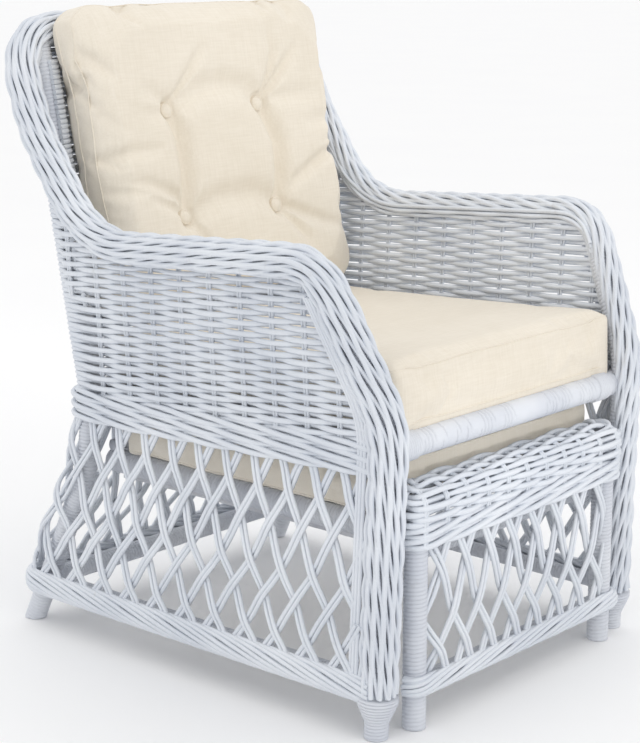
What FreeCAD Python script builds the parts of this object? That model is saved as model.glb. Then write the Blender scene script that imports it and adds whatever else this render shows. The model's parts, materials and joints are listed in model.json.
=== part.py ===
"""White rattan armchair with a footrest that slides out from under the seat.

The chair is a frame of bent rattan poles. Two arm poles rise from the front feet, run back as arms
and sweep up into a hoop that goes round the top of the back. Rear legs carry on up as back posts.
Woven panels fill the sides and the back, an open lattice fills the space below the waist, and a
thick braided rim covers the arm poles and the hoop. Loose cushions lie on the seat, the back and
the footrest.

Millimetres, +Z up, the chair faces -Y. Left and right are as seen from the front, with right at +X.
The origin is on the floor in the middle of the chair's footprint. "Back" is a distance behind the line
of the front feet. Each level of the chair is set from the one below it, and each bend from the one before.
"""
import FreeCAD, Part
import math
import os
from types import SimpleNamespace

from FreeCAD import Placement, Rotation, Vector

SIZES = (
    ("clearance", 0.3, "room left between pieces that meet"),
    # Arm pole and hoop, as points on the middle of the pole
    ("hoop_diameter", 30.0, "arm pole and hoop"),
    ("rim_diameter", 54.0, "braided rim round the arm pole and hoop"),
    ("front_foot_x", 285.0, "centre plane to a front foot"),
    ("knee_in", 8.0, "knee of the front leg inside the foot"),
    ("knee_forward", 13.0, "knee ahead of the front feet"),
    ("knee_rise", 44.0, "knee above the middle of the waist border"),
    ("arm_spread", 36.0, "front of the arm outside the knee"),
    ("arm_front_back", 78.0, "front of the arm behind the front feet"),
    ("arm_rise", 207.0, "front of the arm above the knee"),
    ("arm_taper", 7.0, "rear of the arm inside its front"),
    ("arm_length", 442.0, "rear of the arm behind its front"),
    ("arm_fall", 25.0, "rear of the arm below its front"),
    ("wing_run", 114.0, "wing beside the back behind the rear of the arm"),
    ("wing_rise", 163.0, "wing above the rear of the arm"),
    ("crest_in", 4.0, "corner of the crest inside the wing"),
    ("crest_run", 50.0, "crest behind the wing"),
    ("crest_lift", 136.0, "corner of the crest above the wing"),
    ("crest_rise", 8.0, "crest at the middle above its corners"),
    ("knee_bend", 150.0, "bend radius at the knee"),
    ("arm_front_bend", 60.0, "bend radius at the front of the arm"),
    ("arm_rear_bend", 150.0, "bend radius at the rear of the arm"),
    ("wing_bend", 300.0, "bend radius at the wing"),
    ("crest_bend", 75.0, "bend radius at the corner of the crest"),
    ("crest_arch", 2500.0, "bend radius at the middle of the crest"),
    ("rim_ridge_count", 8, "ridges round the braided rim"),
    ("rim_ridge_height", 4.5, "ridge of the braided rim above the hollow beside it"),
    ("rim_bottom", 52.0, "floor to the lower end of the rim"),
    ("foot_binding_bottom", 26.0, "floor to the lower end of the foot binding"),
    ("foot_binding_lip", 2.5, "thickness of the foot binding at its lower end"),
    # Rear leg, and the back post that it turns into above its bend at the waist
    ("rear_leg_diameter", 32.0, "rear leg and back post"),
    ("post_height", 395.0, "floor to the bend at the waist"),
    ("post_short", 86.0, "top of the post below the corner of the crest"),
    ("post_set_back", 8.0, "top of the post behind the hoop beside it"),
    ("post_run", 92.0, "top of the post behind the bend at the waist"),
    ("post_splay", 6.0, "bend at the waist outside the top of the post"),
    ("hock_drop", 133.0, "hock below the bend at the waist"),
    ("hock_run", 14.0, "hock behind the bend at the waist"),
    ("hock_splay", 3.0, "hock outside the bend at the waist"),
    ("foot_kick", 122.0, "rear foot behind the hock"),
    ("foot_splay", 10.0, "rear foot outside the hock"),
    ("rear_leg_bend", 150.0, "bend radius of the rear leg"),
    # Woven panels and borders
    ("panel_thickness", 10.0, "woven panel"),
    ("weave_relief", 4.0, "depth of the hollows in a woven panel"),
    ("weave_band", 34.0, "height of one band of the weave"),
    ("weave_edge", 2.5, "plain edge round a hollow"),
    ("weave_slot", 5.0, "opening between two weavers in a side panel"),
    ("stake_pitch", 57.5, "distance between the upright stakes of a panel"),
    ("side_flare", 3.0, "degrees that a side panel leans out"),
    ("border_thickness", 14.0, "waist border"),
    ("border_height", 46.0, "waist border, bottom to top"),
    ("waist_drop", 26.0, "middle of the rear waist border below the bend of the rear leg"),
    ("waist_rise", 17.0, "middle of the waist border at the front above its rear"),
    ("hem_thickness", 12.0, "bottom border"),
    ("hem_height", 41.0, "bottom border, bottom to top"),
    ("hem_bottom", 50.0, "floor to the bottom border"),
    ("strand_width", 11.0, "pair of lattice strands side by side"),
    ("strand_thickness", 5.4, "lattice strand"),
    ("strand_gap", 0.4, "between the two layers of the lattice"),
    ("lattice_pitch", 55.0, "spacing of the lattice strands"),
    ("lattice_lean", 31.0, "degrees that a lattice strand leans from upright"),
    # Rails and slats of the chair
    ("bottom_rail_diameter", 24.0, "rail along the bottom of a side"),
    ("back_rail_diameter", 30.0, "rails across the back"),
    ("seat_rail_diameter", 38.0, "rail across the front of the seat"),
    ("seat_rail_back", 4.0, "front seat rail behind the front feet"),
    ("seat_sink", 2.0, "rear seat rail below the middle of the rear waist border"),
    ("seat_drop", 24.0, "fall of the seat from the front rail to the rear rail"),
    ("seat_side_diameter", 26.0, "side rail of the seat"),
    ("seat_side_inset", 5.0, "side rail of the seat inside the post"),
    ("seat_slat_width", 42.0, "seat slat"),
    ("seat_slat_thickness", 12.0, "seat slat"),
    ("seat_slat_count", 7, "seat slats"),
    ("seat_slat_margin", 62.0, "seat rails to the nearest slat"),
    ("binding_length", 30.0, "cane binding at a rail's end"),
    ("binding_thickness", 3.0, "cane binding"),
    ("binding_inset", 34.0, "binding from the middle of the front leg"),
    # Footrest, which hangs its levels from the front seat rail
    ("footrest_side_gap", 1.5, "footrest's apron to the rim of the front leg"),
    ("apron_front", 42.0, "front of the apron ahead of the front feet"),
    ("apron_gap", 26.0, "front seat rail to the apron under it"),
    ("apron_height", 90.0, "apron, bottom to top"),
    ("apron_depth", 60.0, "apron, front to back"),
    ("apron_wall", 9.0, "woven wall of the apron"),
    ("apron_nose", 26.0, "radius of the apron's upper edges"),
    ("apron_lip", 34.0, "depth of the lip behind the apron"),
    ("footrest_headroom", 12.7, "front seat rail to the footrest cushion under it"),
    ("footrest_leg_diameter", 32.0, "footrest leg"),
    ("footrest_rail_diameter", 36.0, "side rail of the footrest"),
    ("footrest_rail_tail", 8.0, "side rail of the footrest behind its rear rail"),
    ("footrest_cross_diameter", 24.0, "front and bottom rails of the footrest"),
    ("footrest_rear_diameter", 20.0, "rear rail of the footrest"),
    ("footrest_slat_width", 36.0, "footrest slat"),
    ("footrest_slat_thickness", 10.0, "footrest slat"),
    ("footrest_slat_rise", 6.0, "middle of a footrest slat above the side rails' middle"),
    ("footrest_slat_count", 6, "footrest slats"),
    ("footrest_slat_margin", 70.0, "first and last footrest slats from the legs and the rear rail"),
    ("footrest_hem_bottom", 43.0, "floor to the footrest's bottom border"),
    ("footrest_hem_height", 39.0, "footrest's bottom border, bottom to top"),
    ("footrest_pitch", 46.0, "spacing of the footrest's lattice strands"),
    # Carrying of the footrest
    ("bar_diameter", 24.0, "bar that carries the footrest's runners"),
    ("bar_gap", 18.0, "bar to the footrest's side rails above it"),
    ("runner_inset", 35.0, "runner inside the footrest's side rail"),
    ("runner_width", 18.0, "runner"),
    ("hanger_width", 24.0, "hanger at the rear of a runner"),
    ("hanger_thickness", 11.0, "hanger at the rear of a runner"),
    ("hanger_gap", 1.5, "footrest's rear rail to the hangers"),
    ("stop_inset", 70.0, "stop block inside the footrest's side rail"),
    ("stop_width", 20.0, "stop block"),
    # Cushions
    ("cushion_draw", 5.0, "drawing in of a cushion's sides between its corners"),
    ("cushion_inset", 11.0, "pull of a cushion's faces inside its seams"),
    ("cushion_dome", 92.0, "crown of a cushion inside its seams"),
    ("seat_cushion_lap", 6.0, "seat cushion past the inner side of the front leg's rim"),
    ("seat_cushion_front", 8.0, "seat cushion ahead of the front feet"),
    ("seat_cushion_gap", 12.0, "seat cushion to the back posts"),
    ("seat_cushion_band", 78.0, "seat cushion at its edge"),
    ("seat_cushion_crown", 7.0, "crown of the seat cushion"),
    ("seat_cushion_corner", 30.0, "corner radius of the seat cushion"),
    ("back_cushion_gap", 17.0, "back cushion to the rim beside it"),
    ("back_cushion_rise", 20.0, "back cushion above the middle of the crest"),
    ("back_cushion_band", 52.0, "back cushion at its edge"),
    ("back_cushion_crown", 30.0, "crown of the back cushion"),
    ("back_cushion_corner", 62.0, "corner radius of the back cushion"),
    ("button_diameter", 24.0, "tuft button"),
    ("button_thickness", 7.0, "tuft button"),
    ("button_x", 102.0, "centre plane to a button"),
    ("button_low", 150.0, "lower buttons above the bottom of the back cushion"),
    ("button_rise", 165.0, "upper buttons above the lower ones"),
    ("tuft_depth", 24.0, "depth of a tuft"),
    ("tuft_spread", 42.0, "radius of a tuft at the cushion's face"),
    ("footrest_cushion_margin", 12.0, "footrest cushion inside the apron's ends"),
    ("footrest_cushion_gap", 4.0, "footrest cushion to the apron and to the rear rail"),
    ("footrest_cushion_band", 64.0, "footrest cushion at its edge"),
    ("footrest_cushion_crown", 7.0, "crown of the footrest cushion"),
    ("footrest_cushion_corner", 26.0, "corner radius of the footrest cushion"),
)
SIDES = {"left": -1, "right": 1}
FLOOR_TOOL = 100.0
CROWN_STEPS = 4

doc = FreeCAD.newDocument("rattan_armchair")
sheet = doc.addObject("Spreadsheet::Sheet", "Sizes")
for row, (alias, value, meaning) in enumerate(SIZES, start=1):
    sheet.set(f"A{row}", meaning)
    sheet.set(f"B{row}", str(value))
    sheet.setAlias(f"B{row}", alias)
doc.recompute()
size = SimpleNamespace(**{alias: float(sheet.get(alias)) for alias, _, _ in SIZES})
nodes = []

# Levels above the floor, distances behind the front feet and distances from the centre plane

hoop_radius = size.hoop_diameter / 2
rim_radius = size.rim_diameter / 2
leg_radius = size.rear_leg_diameter / 2
waist_rear = size.post_height - size.waist_drop
waist_front = waist_rear + size.waist_rise
knee_z = waist_front + size.knee_rise
arm_front_z = knee_z + size.arm_rise
arm_rear_z = arm_front_z - size.arm_fall
wing_z = arm_rear_z + size.wing_rise
crest_z = wing_z + size.crest_lift
post_top_z = crest_z - size.post_short
hock_z = size.post_height - size.hock_drop
seat_rear_z = waist_rear - size.seat_sink
seat_rail_z = seat_rear_z + size.seat_drop
seat_rail_under = seat_rail_z - size.seat_rail_diameter / 2
arm_rear_back = size.arm_front_back + size.arm_length
wing_back = arm_rear_back + size.wing_run
crest_back = wing_back + size.crest_run
beside_share = (post_top_z - wing_z) / size.crest_lift
post_top_back = wing_back + size.crest_run * beside_share + size.post_set_back
post_back = post_top_back - size.post_run
hock_back = post_back + size.hock_run
rear_foot_back = hock_back + size.foot_kick
rear_reach = rear_foot_back + leg_radius * math.hypot(1, size.foot_kick / hock_z)
front_line_y = (size.apron_front - rear_reach) / 2
knee_x = size.front_foot_x - size.knee_in
arm_front_x = knee_x + size.arm_spread
arm_rear_x = arm_front_x - size.arm_taper
crest_x = arm_rear_x - size.crest_in
beside_x = arm_rear_x - size.crest_in * beside_share
post_top_x = beside_x - rim_radius - leg_radius - 2 * size.clearance
post_x = post_top_x + size.post_splay
hock_x = post_x + size.hock_splay
rear_foot_x = hock_x + size.foot_splay


def spot(x, back, z):
    """A point of the chair, from its distance behind the front feet."""
    return Vector(x, front_line_y + back, z)


def on_line(start, end, z):
    """The point of a straight run at the height z."""
    return start + (end - start) * ((z - start.z) / (end.z - start.z))


def keep(piece, label):
    """Names a piece and counts it among the chair's nodes."""
    piece.Label = label
    nodes.append(piece)
    return piece


def shaped(name, shape, place=None):
    """A piece with a shape of its own, placed after it is shaped."""
    piece = doc.addObject("Part::Feature", name)
    piece.Shape = shape
    piece.Placement = place or Placement()
    return piece


def pole(name, start, end, diameter):
    """A straight round pole between two points. Its diameter is the sheet's cell of that name."""
    run = end - start
    piece = doc.addObject("Part::Cylinder", name)
    piece.setExpression("Radius", f"Sizes.{diameter} / 2")
    piece.Height = run.Length
    piece.Placement = Placement(start, Rotation(Vector(0, 0, 1), run))
    return piece


def room(name, start, end, diameter):
    """The space that a straight pole needs, with its clearance."""
    piece = pole(name, start, end, diameter)
    piece.setExpression("Radius", f"Sizes.{diameter} / 2 + Sizes.clearance")
    return piece


def block(name, corner, width, depth, height):
    """A straight block with its lowest corner at a point."""
    piece = doc.addObject("Part::Box", name)
    piece.Length = width
    piece.Width = depth
    piece.Height = height
    piece.Placement = Placement(corner, Rotation())
    return piece


def coped(name, blank, *spaces):
    """The blank with the spaces of the pieces that it meets cut out."""
    for number, space in enumerate(spaces):
        cut = doc.addObject("Part::Cut", f"{name}_cope_{number}")
        cut.Base = blank
        cut.Tool = space
        blank = cut
    return blank


def group(name, pieces):
    """Several like pieces that share one node."""
    piece = doc.addObject("Part::Compound", name)
    piece.Links = pieces
    return piece


def bent_wire(points, radii):
    """Straight runs through the points, joined by a tangent arc at each inner point."""
    edges = []
    start = points[0]
    for before, corner, after, radius in zip(points, points[1:], points[2:], radii):
        into = (corner - before).normalize()
        out = (after - corner).normalize()
        half_turn = into.getAngle(out) / 2
        reach = radius * math.tan(half_turn)
        middle = corner + (out - into).normalize() * (radius / math.cos(half_turn) - radius)
        arc_end = corner + out * reach
        edges.append(Part.LineSegment(start, corner - into * reach).toShape())
        edges.append(Part.Arc(corner - into * reach, middle, arc_end).toShape())
        start = arc_end
    edges.append(Part.LineSegment(start, points[-1]).toShape())
    return Part.Wire(edges)


def pipe(wire, radius):
    """A round solid along the wire."""
    first = wire.Edges[0]
    ring = Part.makeCircle(radius, first.valueAt(first.FirstParameter), first.tangentAt(first.FirstParameter))
    return wire.makePipeShell([Part.Wire(ring)], True, False)


def braid(wire, back):
    """The rim along the wire, with the ridges of the braid side by side round the hole for the pole.

    At the start of the wire the first ridge faces back, where a panel meets the rim.
    """
    first = wire.Edges[0]
    start = first.valueAt(first.FirstParameter)
    axis = first.tangentAt(first.FirstParameter)
    across = axis.cross(back).normalize()
    square_back = across.cross(axis)

    def around(step, radius):
        angle = 2 * math.pi * step / size.rim_ridge_count
        return start + square_back * (radius * math.cos(angle)) + across * (radius * math.sin(angle))

    hollow = rim_radius - size.rim_ridge_height
    ridges = [
        Part.Arc(around(number - 0.5, hollow), around(number, rim_radius), around(number + 0.5, hollow)).toShape()
        for number in range(int(size.rim_ridge_count))]
    solid = wire.makePipeShell([Part.Wire(ridges)], True, False)
    return solid.cut(pipe(wire, hoop_radius + size.clearance))


def above_floor(shape):
    """The shape without what reaches below the floor."""
    bounds = shape.BoundBox
    corner = Vector(bounds.XMin - FLOOR_TOOL, bounds.YMin - FLOOR_TOOL, -2 * FLOOR_TOOL)
    width = bounds.XLength + 2 * FLOOR_TOOL
    depth = bounds.YLength + 2 * FLOOR_TOOL
    return shape.cut(Part.makeBox(width, depth, 2 * FLOOR_TOOL, corner))


def plate(name, corners, thickness, place):
    """A flat plate. Its outline is drawn in its own plane, padded to the sheet's cell and placed."""
    body = doc.addObject("PartDesign::Body", name)
    sketch = body.newObject("Sketcher::SketchObject", f"{name}_outline")
    plane = next(feature for feature in body.Origin.OriginFeatures if feature.Role == "XY_Plane")
    sketch.AttachmentSupport = (plane, [""])
    sketch.MapMode = "FlatFace"
    for start, end in zip(corners, corners[1:] + corners[:1]):
        sketch.addGeometry(Part.LineSegment(Vector(*start, 0), Vector(*end, 0)), False)
    pad = body.newObject("PartDesign::Pad", f"{name}_pad")
    pad.Profile = sketch
    pad.setExpression("Length", f"Sizes.{thickness}")
    body.Placement = place
    return body


def facing(origin, along, up):
    """A placement whose own X runs along and whose own Y runs up, with Z square to both."""
    along = Vector(along).normalize()
    up = Vector(up).normalize()
    return Placement(origin, Rotation(along, up, along.cross(up), "XYZ"))


def weave_hollows(name, field, place, slot=0):
    """Hollows where the bands of the weave pass behind a stake, by turns on a panel's two faces.

    The field is a flat face in the panel's own plane. A slot goes right through each whole hollow.
    """
    bounds = field.BoundBox
    reach = math.ceil(bounds.XLength / 2 / size.stake_pitch)
    hollow_wide = size.stake_pitch - 2 * size.weave_edge
    hollow_high = size.weave_band - 2 * size.weave_edge
    hollows = []
    for band in range(math.ceil(bounds.YLength / size.weave_band)):
        for column in range(-reach, reach + 1):
            left = bounds.Center.x + (column - 0.5) * size.stake_pitch + size.weave_edge
            low = bounds.YMin + band * size.weave_band
            cell = Part.makePlane(hollow_wide, hollow_high, Vector(left, low, 0)).common(field)
            if cell.Area < size.weave_band ** 2 / 4:
                continue
            far_face = (band + column) % 2
            base = size.panel_thickness - size.weave_relief if far_face else -size.weave_relief
            hollow = cell.Faces[0].extrude(Vector(0, 0, 2 * size.weave_relief))
            hollow.translate(Vector(0, 0, base))
            if slot and cell.Area > 0.99 * hollow_wide * hollow_high:
                corner = Vector(left + size.weave_edge, low + (hollow_high - slot) / 2, -size.weave_relief)
                through = size.panel_thickness + 2 * size.weave_relief
                hollow = hollow.fuse(Part.makeBox(hollow_wide - 2 * size.weave_edge, slot, through, corner))
            hollows.append(hollow)
    return shaped(name, Part.makeCompound(hollows), place)


# The path of the arm pole and the hoop, as far as the middle of the crest

arm_points = {}
hoop_points = {}
side_points = {}
splits = {}
for side, sign in SIDES.items():
    foot = spot(sign * size.front_foot_x, 0, 0)
    knee = spot(sign * knee_x, -size.knee_forward, knee_z)
    arm_front = spot(sign * arm_front_x, size.arm_front_back, arm_front_z)
    arm_rear = spot(sign * arm_rear_x, arm_rear_back, arm_rear_z)
    wing = spot(sign * arm_rear_x, wing_back, wing_z)
    crest = spot(sign * crest_x, crest_back, crest_z)
    arm_turn = (arm_rear - arm_front).getAngle(wing - arm_rear)
    wing_turn = (wing - arm_rear).getAngle(crest - wing)
    run = wing - arm_rear
    bend_end = size.arm_rear_bend * math.tan(arm_turn / 2)
    bend_start = run.Length - size.wing_bend * math.tan(wing_turn / 2)
    splits[side] = arm_rear + run * ((bend_end + bend_start) / 2 / run.Length)
    arm_points[side] = [foot, knee, arm_front, arm_rear, splits[side]]
    hoop_points[side] = [splits[side], wing, crest]
    side_points[side] = [foot, knee, arm_front, arm_rear, wing, crest]
arm_bends = [size.knee_bend, size.arm_front_bend, size.arm_rear_bend]
crest_middle = spot(0, crest_back, crest_z + size.crest_rise)
back_points = hoop_points["left"] + [crest_middle] + hoop_points["right"][::-1]
back_bends = [size.wing_bend, size.crest_bend, size.crest_arch, size.crest_bend, size.wing_bend]

rim_space = {}
for side in SIDES:
    points = arm_points[side]
    foot, knee = points[:2]
    axis = (knee - foot).normalize()
    below_floor = foot - axis * hoop_radius
    leg_wire = bent_wire([below_floor] + points[1:], arm_bends)
    keep(shaped(f"arm_pole_{side}", above_floor(pipe(leg_wire, hoop_radius))), f"arm_pole_{side}")
    rim_start = on_line(foot, knee, size.rim_bottom)
    rim_wire = bent_wire([rim_start] + points[1:], arm_bends)
    keep(shaped(f"rim_{side}", braid(rim_wire, Vector(0, 1, 0))), f"rim_{side}")
    whole_wire = bent_wire([below_floor] + side_points[side][1:], arm_bends + [size.wing_bend])
    rim_space[side] = shaped(f"rim_space_{side}", pipe(whole_wire, rim_radius + size.clearance))
    binding_start = on_line(foot, knee, size.foot_binding_bottom)
    cone = doc.addObject("Part::Cone", f"foot_binding_cone_{side}")
    cone.setExpression("Radius1", "Sizes.hoop_diameter / 2 + Sizes.clearance + Sizes.foot_binding_lip")
    cone.setExpression("Radius2", "Sizes.rim_diameter / 2")
    cone.Height = (rim_start - binding_start).Length - size.clearance
    cone.Placement = Placement(binding_start, Rotation(Vector(0, 0, 1), axis))
    leg_room = room(f"foot_room_{side}", below_floor, knee, "hoop_diameter")
    keep(coped(f"foot_binding_{side}", cone, leg_room), f"foot_binding_{side}")

back_wire = bent_wire(back_points, back_bends)
keep(shaped("back_hoop", pipe(back_wire, hoop_radius)), "back_hoop")
back_rim_space = shaped("back_rim_space", pipe(back_wire, rim_radius + size.clearance))

# Rear legs, which carry on above the waist as posts beside the hoop

leg_points = {}
leg_space = {}
for side, sign in SIDES.items():
    foot = spot(sign * rear_foot_x, rear_foot_back, 0)
    hock = spot(sign * hock_x, hock_back, hock_z)
    post = spot(sign * post_x, post_back, size.post_height)
    top = spot(sign * post_top_x, post_top_back, post_top_z)
    leg_points[side] = [foot, hock, post, top]
    below_floor = foot - (hock - foot).normalize() * size.rear_leg_diameter
    bends = [size.rear_leg_bend, size.rear_leg_bend]
    leg_wire = bent_wire([below_floor, hock, post, top], bends)
    keep(shaped(f"rear_leg_{side}", above_floor(pipe(leg_wire, leg_radius))), f"rear_leg_{side}")
    leg_space[side] = shaped(f"leg_space_{side}", pipe(leg_wire, leg_radius + size.clearance))


def leg_at(side, z):
    """The middle of the rear leg or post at the height z, on its straight runs."""
    foot, hock, post, top = leg_points[side]
    if z < hock.z:
        return on_line(foot, hock, z)
    return on_line(hock, post, z) if z < post.z else on_line(post, top, z)


# Levels of the borders, and the planes that the woven work lies in

half_border = size.border_height / 2
waist_bottom_rear = waist_rear - half_border
waist_top_rear = waist_rear + half_border
_, right_hock, right_post, right_top = leg_points["right"]
post_rake = math.atan2(right_top.y - right_post.y, right_top.z - right_post.z)
post_turn = (right_post - right_hock).getAngle(right_top - right_post)
post_sag = size.rear_leg_bend * (1 / math.cos(post_turn / 2) - 1)
leg_at_waist = leg_at("right", waist_bottom_rear)
shin_run = (right_post - right_hock).normalize()
waist_inner_x = leg_at_waist.x + leg_radius + size.clearance
waist_outer_x = waist_inner_x + size.border_thickness
waist_front_y = leg_at_waist.y + leg_radius / shin_run.z + size.clearance
leg_at_hem = leg_at("right", size.hem_bottom)
foot_run = (right_hock - leg_points["right"][0]).normalize()
hem_inner_x = leg_at_hem.x + leg_radius / foot_run.z + size.clearance
hem_front_y = leg_at_hem.y + leg_radius / foot_run.z + size.clearance
hem_top = size.hem_bottom + size.hem_height

# Back panel, raked behind the posts and cut to the rim of the hoop

panel_base_z = waist_top_rear + size.clearance
panel_stand_off = leg_radius + size.clearance + post_sag + size.panel_thickness
rake_up = Vector(0, math.sin(post_rake), math.cos(post_rake))
rake_back = Vector(0, math.cos(post_rake), -math.sin(post_rake))

# The rim of the hoop runs both ways from the middle of the crest, so that a ridge faces the cushion there

arch_place = len(back_wire.Edges) // 2
arch = back_wire.Edges[arch_place]
half_arch = Part.Edge(arch.Curve, (arch.FirstParameter + arch.LastParameter) / 2, arch.LastParameter)
half_rim = braid(Part.Wire([half_arch] + back_wire.Edges[arch_place + 1:]), rake_back)
other_half = half_rim.mirror(Vector(0, 0, 0), Vector(1, 0, 0))
keep(shaped("rim_back", half_rim.fuse(other_half).removeSplitter()), "rim_back")

post_at_base = on_line(right_post, right_top, panel_base_z + panel_stand_off * math.sin(post_rake))
panel_base = Vector(0, post_at_base.y, post_at_base.z) + rake_back * panel_stand_off


def up_the_back(z):
    """The distance up the back panel to the height z."""
    return (z - panel_base.z) / rake_up.z


corner_cut = size.crest_bend * (1 - math.sqrt(0.5))
crest_level = up_the_back(crest_z)
half_outline = [
    (waist_outer_x, 0),
    (waist_outer_x + (wing_z - panel_base.z) * math.tan(math.radians(size.side_flare)), up_the_back(wing_z)),
    (crest_x, crest_level - size.crest_bend),
    (crest_x - corner_cut, crest_level - corner_cut),
    (crest_x - size.crest_bend, crest_level),
]
top_point = [(0, up_the_back(crest_z + size.crest_rise))]
back_outline = half_outline + top_point + [(-x, up) for x, up in half_outline[::-1]]
back_place = facing(panel_base, Vector(1, 0, 0), rake_up)
back_blank = plate("back_panel_blank", back_outline, "panel_thickness", back_place)
back_field_half = leg_at_waist.x - size.rear_leg_diameter
back_field_top = crest_level - rim_radius - 2 * size.weave_edge
back_weave_field = Part.makePlane(
    2 * back_field_half, back_field_top - 2 * size.weave_edge,
    Vector(-back_field_half, 2 * size.weave_edge, 0))
back_hollows = weave_hollows("back_weave_hollows", back_weave_field, back_place)
keep(coped("back_panel", back_blank, back_rim_space, back_hollows), "back_panel")


def back_face_y(z):
    """The front face of the back panel at the height z, seen from the side."""
    face = panel_base - rake_back * size.panel_thickness
    return face.y + (z - face.z) * math.tan(post_rake)


# Waist border and side panels

for side, sign in SIDES.items():
    foot, knee = side_points[side][:2]
    front_y = on_line(foot, knee, waist_front).y
    rear_y = waist_front_y - size.clearance
    border_outline = [
        (front_y, waist_front - half_border),
        (rear_y, waist_bottom_rear),
        (rear_y, waist_top_rear),
        (front_y, waist_front + half_border),
    ]
    near_x = waist_inner_x if sign > 0 else -waist_outer_x
    border_place = facing(Vector(near_x, 0, 0), Vector(0, 1, 0), Vector(0, 0, 1))
    border = plate(f"waist_border_blank_{side}", border_outline, "border_thickness", border_place)
    keep(coped(f"waist_border_{side}", border, rim_space[side]), f"waist_border_{side}")

    flare = math.radians(size.side_flare)
    lean = Vector(sign * math.sin(flare), 0, math.cos(flare))
    side_base_z = waist_top_rear + 2 * size.clearance
    middle_x = sign * (waist_inner_x + size.panel_thickness / 2)
    outward = Vector(0, 1, 0).cross(lean)
    side_base = Vector(middle_x, 0, side_base_z) - outward * (size.panel_thickness / 2)
    wing_rear_z = wing_z + rim_radius
    panel_points = [(front_y, waist_front + half_border + 2 * size.clearance)]
    panel_points += [(point.y, point.z) for point in side_points[side][1:5]]
    panel_points.append((back_face_y(wing_rear_z) - size.clearance, wing_rear_z))
    panel_points.append((back_face_y(side_base_z) - size.clearance, side_base_z))
    panel_outline = [(y, (z - side_base_z) / math.cos(flare)) for y, z in panel_points]
    side_place = facing(side_base, Vector(0, 1, 0), lean)
    panel = plate(f"side_panel_blank_{side}", panel_outline, "panel_thickness", side_place)
    field_corners = [Vector(y, up, 0) for y, up in panel_outline]
    panel_face = Part.Face(Part.makePolygon(field_corners + field_corners[:1]))
    inner_field = panel_face.makeOffset2D(-rim_radius - 2 * size.weave_edge, 2)
    side_hollows = weave_hollows(f"side_weave_hollows_{side}", inner_field, side_place, size.weave_slot)
    keep(coped(f"side_panel_{side}", panel, rim_space[side], side_hollows), f"side_panel_{side}")

waist_back = block(
    "waist_border_back",
    Vector(-waist_outer_x, waist_front_y, waist_bottom_rear),
    2 * waist_outer_x, size.border_thickness, size.border_height)
waist_back.setExpression("Width", "Sizes.border_thickness")
waist_back.setExpression("Height", "Sizes.border_height")
keep(waist_back, "waist_border_back")

# Bottom rails and bottom borders

front_legs = {side: points[:2] for side, points in side_points.items()}
rail_z = size.hem_bottom + size.hem_height / 2
back_rail_ends = [leg_at("left", rail_z), leg_at("right", rail_z)]
back_rail = pole("bottom_rail_back_blank", *back_rail_ends, "back_rail_diameter")
keep(coped("bottom_rail_back", back_rail, leg_space["left"], leg_space["right"]), "bottom_rail_back")
back_rail_room = room("back_rail_room", *back_rail_ends, "back_rail_diameter")
for side, sign in SIDES.items():
    front_y = on_line(*front_legs[side], rail_z).y
    rear = leg_at(side, rail_z)
    rail = pole(f"bottom_rail_blank_{side}", Vector(rear.x, front_y, rear.z), rear, "bottom_rail_diameter")
    spaces = (rim_space[side], leg_space[side], back_rail_room)
    keep(coped(f"bottom_rail_{side}", rail, *spaces), f"bottom_rail_{side}")
    hem_x = hem_inner_x if sign > 0 else -hem_inner_x - size.hem_thickness
    hem_start = on_line(*front_legs[side], size.hem_bottom).y
    hem_length = hem_front_y - size.clearance - hem_start
    hem = block(f"bottom_border_blank_{side}", Vector(hem_x, hem_start, size.hem_bottom),
                size.hem_thickness, hem_length, size.hem_height)
    hem.setExpression("Length", "Sizes.hem_thickness")
    hem.setExpression("Height", "Sizes.hem_height")
    keep(coped(f"bottom_border_{side}", hem, rim_space[side]), f"bottom_border_{side}")
hem_half = hem_inner_x + size.hem_thickness
hem_back = block("bottom_border_back", Vector(-hem_half, hem_front_y, size.hem_bottom),
                 2 * hem_half, size.hem_thickness, size.hem_height)
hem_back.setExpression("Width", "Sizes.hem_thickness")
hem_back.setExpression("Height", "Sizes.hem_height")
keep(hem_back, "bottom_border_back")

# Open lattice of crossing strands in two layers

layer = size.strand_thickness + size.strand_gap
lattice_depth = layer + size.strand_thickness


def clipped(outline, start, end):
    """The part of a convex outline that lies to the left of the line from start to end."""
    def side_of(point):
        across = (end[0] - start[0]) * (point[1] - start[1])
        return across - (end[1] - start[1]) * (point[0] - start[0])
    kept = []
    for before, after in zip(outline, outline[1:] + outline[:1]):
        depth_before, depth_after = side_of(before), side_of(after)
        if depth_before >= 0:
            kept.append(before)
        if depth_before * depth_after < 0:
            share = depth_before / (depth_before - depth_after)
            kept.append(tuple(a + (b - a) * share for a, b in zip(before, after)))
    return kept


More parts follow.
